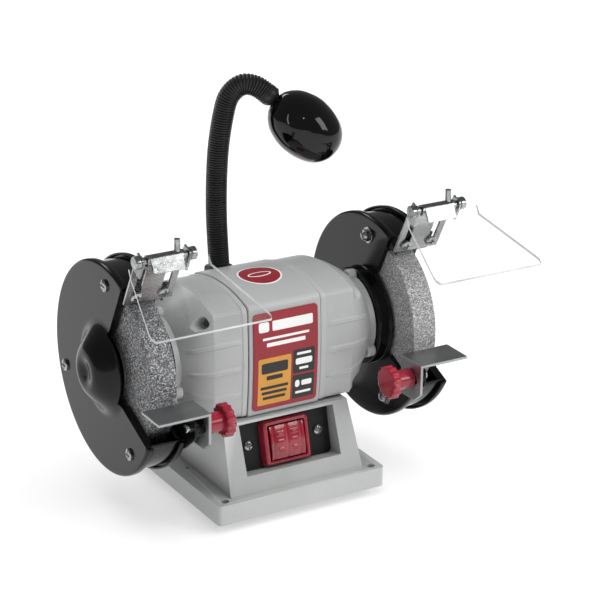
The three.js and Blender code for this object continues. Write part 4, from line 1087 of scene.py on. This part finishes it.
# %% Tool rests and knobs
REST_IN = box_mm("rest_right")[0][0]
KNOB_R, KNOB_LOW, KNOB_HIGH, LOBES, LOBE_DEPTH = 11.8, 64.5, 71.5, 14, 0.55
star = disc_outline(KNOB_R, BOLT_Y, BOLT_Z, 224, LOBES, LOBE_DEPTH)
hub_profile = soften([(0, 70), (7.2, 70), (7.2, REST_IN - 0.3), (0, REST_IN - 0.3)], 0.8, 3)
stud_profile = soften([(0, 80), (3, 80), (3, 99), (0, 99)], 0.7, 3)
for hand, side in SIDES:
    eased(f"rest_{hand}", rest_zinc, 0.45, name=f"folded_rest_{hand}")
    shapes = [tablet(star, KNOB_LOW, KNOB_HIGH, 1.6, red_gloss)]
    for profile, finish in ((hub_profile, red_gloss), (stud_profile, turned_zinc)):
        points, faces = turned(profile, 48)
        shapes.append((points + (0, BOLT_Y, BOLT_Z), faces, finish))
    make(f"star_knob_{hand}", shapes, f"knob_{hand}", [f"rest_knob_{hand}"], side)

# %% [markdown]
# The switch sits in a leaning panel, under a soft red boot that keeps grinding dust out.

# %% Switch panel
PANEL = (0.0, -41.5, 48.2 + BENCH)
PANEL_LEAN = np.radians(-14)


def rounded_ring(half_x, half_z, radius, y, steps=7):
    """Points round a rounded rectangle: each corner's centre plus r (cos a, sin a)."""
    points = []
    for corner, (i, j) in enumerate(((1, 1), (-1, 1), (-1, -1), (1, -1))):
        a = (corner + np.linspace(0, 1, steps)) * np.pi / 2
        x = i * (half_x - radius) + radius * np.cos(a)
        points.append(np.stack([x, y + 0 * a, j * (half_z - radius) + radius * np.sin(a)], 1))
    return np.concatenate(points)


def on_panel(points, faces, finish):
    """A shape drawn on a level panel that faces -y, leaned into its place."""
    return leaned(points, PANEL, PANEL_LEAN), faces, finish


PLATE_RINGS = (  # half width, half height, corner radius, y
    (38.8, 18.1, 3, 2.0), (38.8, 18.1, 3, 0.6), (38.2, 17.5, 2.5, 0.0),
    (13.6, 11.6, 1, 0.0), (13.6, 11.6, 1, 2.0))
points, faces = surface(np.stack([rounded_ring(*ring) for ring in PLATE_RINGS]), True, True)
make("switch_plate_finished", [on_panel(points + (0, 0, 0.5), faces, moulded_black)],
     "base", ["switch_plate"])
heads = [pan_head(3.6, 2.0, (x, -0.1, 1), (0, -1, 0), turned_zinc) for x in (-29.2, 29.2)]
make("switch_screws", [on_panel(*head) for head in heads], "base")

COLLAR_RINGS = (
    (19.6, 17, 2.4, -0.3), (19.5, 16.9, 2.4, -1.0), (18.6, 16.0, 2.2, -5.4), (18.1, 15.5, 2.0, -6.2),
    (17.4, 14.9, 1.8, -6.5), (15.6, 13.6, 1.4, -6.3), (15.2, 13.3, 1.3, -5.6), (15.0, 13.2, 1.2, -0.3))
collar = surface(np.stack([rounded_ring(*ring) for ring in COLLAR_RINGS]), True, True)
make("switch_collar", [on_panel(*collar, red_boot)], "base", ["switch_frame"])
BOOT_X, BOOT_Z, BOOT_TOP, BOOT_FOOT = 13.9, 12.3, -7.78, -2.2


def boot_height(x, z):
    """y of the boot: a shallow roof, folded along two grooves and stepped three times a side."""
    roof = -6.3 - 1.2 * (1 - (z / BOOT_Z) ** 2)
    groove = 0.7 * np.exp(-((np.abs(x) - 11.2) / 0.8) ** 2) + 0.5 * np.exp(-(x / 0.9) ** 2)
    lens = 0.55 * np.exp(-((np.abs(x) - 5.8) / 2.6) ** 4) * sum(
        np.exp(-((z - height) / 1.3) ** 4) for height in (-5.8, 0, 5.8))
    return roof + groove - lens


boot_x, boot_z = np.meshgrid(
    np.linspace(-BOOT_X, BOOT_X, 90), np.linspace(-BOOT_Z, BOOT_Z, 80), indexing="ij")
boot_top = np.stack([boot_x, np.maximum(boot_height(boot_x, boot_z), BOOT_TOP), boot_z], -1)
boot_low = np.stack([boot_x, 0 * boot_x + BOOT_FOOT, boot_z], -1)
make("switch_boot", [on_panel(*slab(boot_top, boot_low), red_boot)],
     "switch_rocker", ["rocker"])

# %% [markdown]
# The base is one casting, so it only needs its edges eased. Each rubber foot is a turned shape.

# %% Base and feet
eased("base_casting", grey_enamel, 0.9, 3, name="cast_base")
foot_profile = soften([(0, 0), (6.6, 0), (8, 6.7), (0, 6.7)], 1.0, 3)
for end in ("front", "rear"):
    for hand, side in SIDES:
        low, high = box_mm(f"foot_{end}_{hand}")
        points, faces = turned(foot_profile, 48)
        centre = ((low[0] + high[0]) / 2, (low[1] + high[1]) / 2, BENCH)
        make(f"rubber_foot_{end}_{hand}", [(points[:, [1, 2, 0]] + centre, faces, rubber)],
             "base", [f"foot_{end}_{hand}"])

# %% [markdown]
# The lamp stands on a flexible conduit. Its ridges are rings set square to a curved path, so each
# sleeve is a tube whose radius swells and shrinks along the way. A sleeve that crosses a hinge
# is left on no body and stays where it is drawn.

# %% Lamp neck
NECK_BACK = np.array([0.0, 56.0, BENCH])
NECK_AIM = np.array([0.83, -0.5578, 0]) / np.hypot(0.83, 0.5578)
HEAD_REACH, HEAD_HEIGHT = 36, 284
REACH_HEIGHT = [
    (0, 150.8), (-2, 196), (-0.7, 240), (4, 272), (8.5, 284.0), (16.8, 290.8), (26.5, 290.2),
    (HEAD_REACH, HEAD_HEIGHT), (38.6, 281.7)]
RIDGE, RIDGE_LOW, RIDGE_HIGH = 1.9, 7.2, 8.0
neck_path = curve_through(
    [NECK_BACK + reach * NECK_AIM + (0, 0, height) for reach, height in REACH_HEIGHT], 24)
neck_length = np.concatenate([[0], np.cumsum(np.linalg.norm(np.diff(neck_path, axis=0), axis=1))])
NECK_SIDE = np.cross(NECK_AIM, (0, 0, 1))
NECK_COLUMNS = 40


def path_at(travel):
    """Points on the neck's centre line at distances along it."""
    return np.stack([np.interp(travel, neck_length, neck_path[:, k]) for k in range(3)], -1)


def sleeve(start, end):
    """Tube of radius low + (high - low) |sin|^0.7 along the path, closed at both ends."""
    travel = np.arange(round((end - start) / RIDGE) * 6 + 1) * RIDGE / 6 + start
    wave = np.abs(np.sin(np.pi * (travel - start) / RIDGE)) ** 0.7
    radius = RIDGE_LOW + (RIDGE_HIGH - RIDGE_LOW) * wave
    centre = path_at(travel)
    along = path_at(travel + 0.5) - path_at(travel - 0.5)
    along /= np.linalg.norm(along, axis=1, keepdims=True)
    out = np.cross(along, NECK_SIDE)
    a = np.linspace(0, 2 * np.pi, NECK_COLUMNS, endpoint=False)[None, :, None]
    rings = centre[:, None] + radius[:, None, None] * (
        np.cos(a) * out[:, None] + np.sin(a) * NECK_SIDE)
    first = np.repeat(centre[:1, None], NECK_COLUMNS, 1)
    last = np.repeat(centre[-1:, None], NECK_COLUMNS, 1)
    return surface(np.concatenate([first, rings, last]), False, True)


def neck_travel(height):
    """How far along the path it first reaches a height above the bench."""
    return float(np.interp(height + BENCH, neck_path[:120, 2], neck_length[:120]))


# Every sleeve holds a whole number of ridges, so that neighbours meet in a groove.
NECK_FOOT, SLEEVE_HEIGHTS = 0.6, (172, 218, 257, 281)
ends = [*(neck_travel(height) for height in SLEEVE_HEIGHTS), neck_length[-1] - 0.2]
stops = [NECK_FOOT] + [NECK_FOOT + RIDGE * int((end - NECK_FOOT) / RIDGE) for end in ends]
BENDS = (None, ("lamp_neck_1", "lamp_neck_2"), ("lamp_neck_2", "lamp_neck_3"),
         ("lamp_neck_3", "lamp_neck_4"), None)
OWNERS = ("lamp_neck_1", None, None, None, "lamp_neck_4")
STANDS = (["neck_1"], ["neck_2"], ["neck_3"], [], ["neck_4"])
sleeves = zip(stops, stops[1:], OWNERS, BENDS, STANDS)
for number, (start, end, owner, pair, stands) in enumerate(sleeves, 1):
    piece = make(f"conduit_{number}", [(*sleeve(start, end), conduit)],
                 owner, stands)
    if pair:
        low, high = [(path_at(np.array([stop]))[0] * MM + AXIS).tolist() for stop in (start, end)]
        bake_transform(piece)
eased("lamp_socket", moulded_black, 0.8, 3, name="moulded_lamp_socket")

# %% [markdown]
# The lamp's head is a hollow egg, turned from one profile. It tilts on a knuckle at the end of
# the conduit, and a round window in its underside lets the light out. The window is cut with two
# solids: a drill for the hole, and a disc that faces off the rim so the lens can lie flat.

# %% Lamp head
SHADE_DROP = np.radians(40.8)
head = NECK_BACK + HEAD_REACH * NECK_AIM + (0, 0, HEAD_HEIGHT)
shade_axis = NECK_AIM * np.cos(SHADE_DROP) - (0, 0, np.sin(SHADE_DROP))
shade_down = np.array([0, 0, -1]) + shade_axis[2] * shade_axis
shade_down = shade_down / np.linalg.norm(shade_down)
EGG = [
    (6.6, 6.9), (8.4, 7.3), (11.2, 9.0), (14.6, 11.9), (18.6, 17.2), (21.4, 24.5), (22.8, 31),
    (22.8, 37), (21.7, 44.5), (18.8, 53), (14.2, 59.4), (7.6, 63.5), (0, 64.8)]
EGG_INSIDE = [
    (0, 62.6), (6.4, 61.4), (12.3, 57.6), (16.6, 51.5), (19.3, 43.5), (20.4, 36.5), (20.4, 31.5),
    (19.0, 25.5), (16.4, 19.2), (12.4, 14.6), (8.0, 12.0), (6.6, 9.0)]
WINDOW_T, WINDOW_R, WINDOW_DEPTH = 34.0, 9.5, 20.9
egg_profile = np.concatenate([curve_through(EGG, 8), curve_through(EGG_INSIDE, 8)])
points, faces = turned(egg_profile, 128, closed=True)
shade = make("lamp_head_shell", [(aimed(points, head, shade_axis), faces, piano_lacquer)],
             "lamp_head", ["lamp_shade"])
shade.modifiers.clear()
window_middle = head + WINDOW_T * shade_axis
drill = turned([(0, 0), (WINDOW_R, 0), (WINDOW_R, 30), (0, 30)], 96)
flat = turned([(0, WINDOW_DEPTH), (26, WINDOW_DEPTH), (26, 40), (0, 40)], 96)
for name, (points, faces) in (("window_drill", drill), ("window_flat", flat)):
    placed = aimed(points, window_middle, shade_down, up=shade_axis)
    tool = make(name, [(placed, faces, white_reflector)], "lamp_head")
    tool.modifiers.clear()
    cut = shade.modifiers.new(name, "BOOLEAN")
    cut.operation, cut.object, cut.solver = "DIFFERENCE", tool, "EXACT"
    done = bpy.data.meshes.new_from_object(shade.evaluated_get(bpy.context.evaluated_depsgraph_get()))
    shade.modifiers.clear()
    shade.data = done
    bpy.data.objects.remove(tool)
shell = bmesh.new()
shell.from_mesh(shade.data)
bmesh.ops.remove_doubles(shell, verts=shell.verts, dist=WELD)
crease_edges(shell)
shell.to_mesh(shade.data)
shell.free()
if len(shade.data.materials) < 2:
    shade.data.materials.append(white_reflector)
for face in shade.data.polygons:
    centre = (np.array(face.center) - AXIS) / MM - head
    along = centre @ shade_axis
    inside = np.array(face.normal) @ (centre - WINDOW_T * shade_axis) < 0 and along > 9
    face.material_index = int(inside)
print(f"lamp head: {len(shade.data.polygons)} faces")

KNUCKLE_R = 7.9
knuckle_turn = np.linspace(0, np.pi, 24)
points, faces = turned(
    np.stack([KNUCKLE_R * np.sin(knuckle_turn), KNUCKLE_R * np.cos(knuckle_turn)], 1), 64)
make("neck_knuckle", [(aimed(points, head, shade_axis), faces, conduit)],
     "lamp_neck_4")

# %% [markdown]
# The pieces that keep their CAD shape are mostly hidden inside. They still get a real finish,
# because the gaps round a wheel or a view from below will show them.

# %% Finishes for the pieces kept from CAD
KEPT = {
    "bottom_cover": moulded_black, "capacitor": drawn_aluminium, "cord_gland": rubber,
    "switch_body": moulded_black, "stator_core": lamination_edges, "rotor_core": lamination_edges,
    "winding_left": winding_copper, "winding_right": winding_copper, "shaft": ground_steel,
    "bearing_left": ground_steel, "bearing_right": ground_steel, "lamp_lens": frosted_lens,
    "flange_inner_left": ground_steel, "flange_inner_right": ground_steel,
    "flange_outer_left": ground_steel, "flange_outer_right": ground_steel,
    "arbor_nut_left": turned_zinc, "arbor_nut_right": turned_zinc}
for name, finish in KEPT.items():
    slots = frame["nodes"][name].data.materials
    slots.clear()
    slots.append(finish)
print(f"{len(KEPT)} CAD pieces keep their shape")
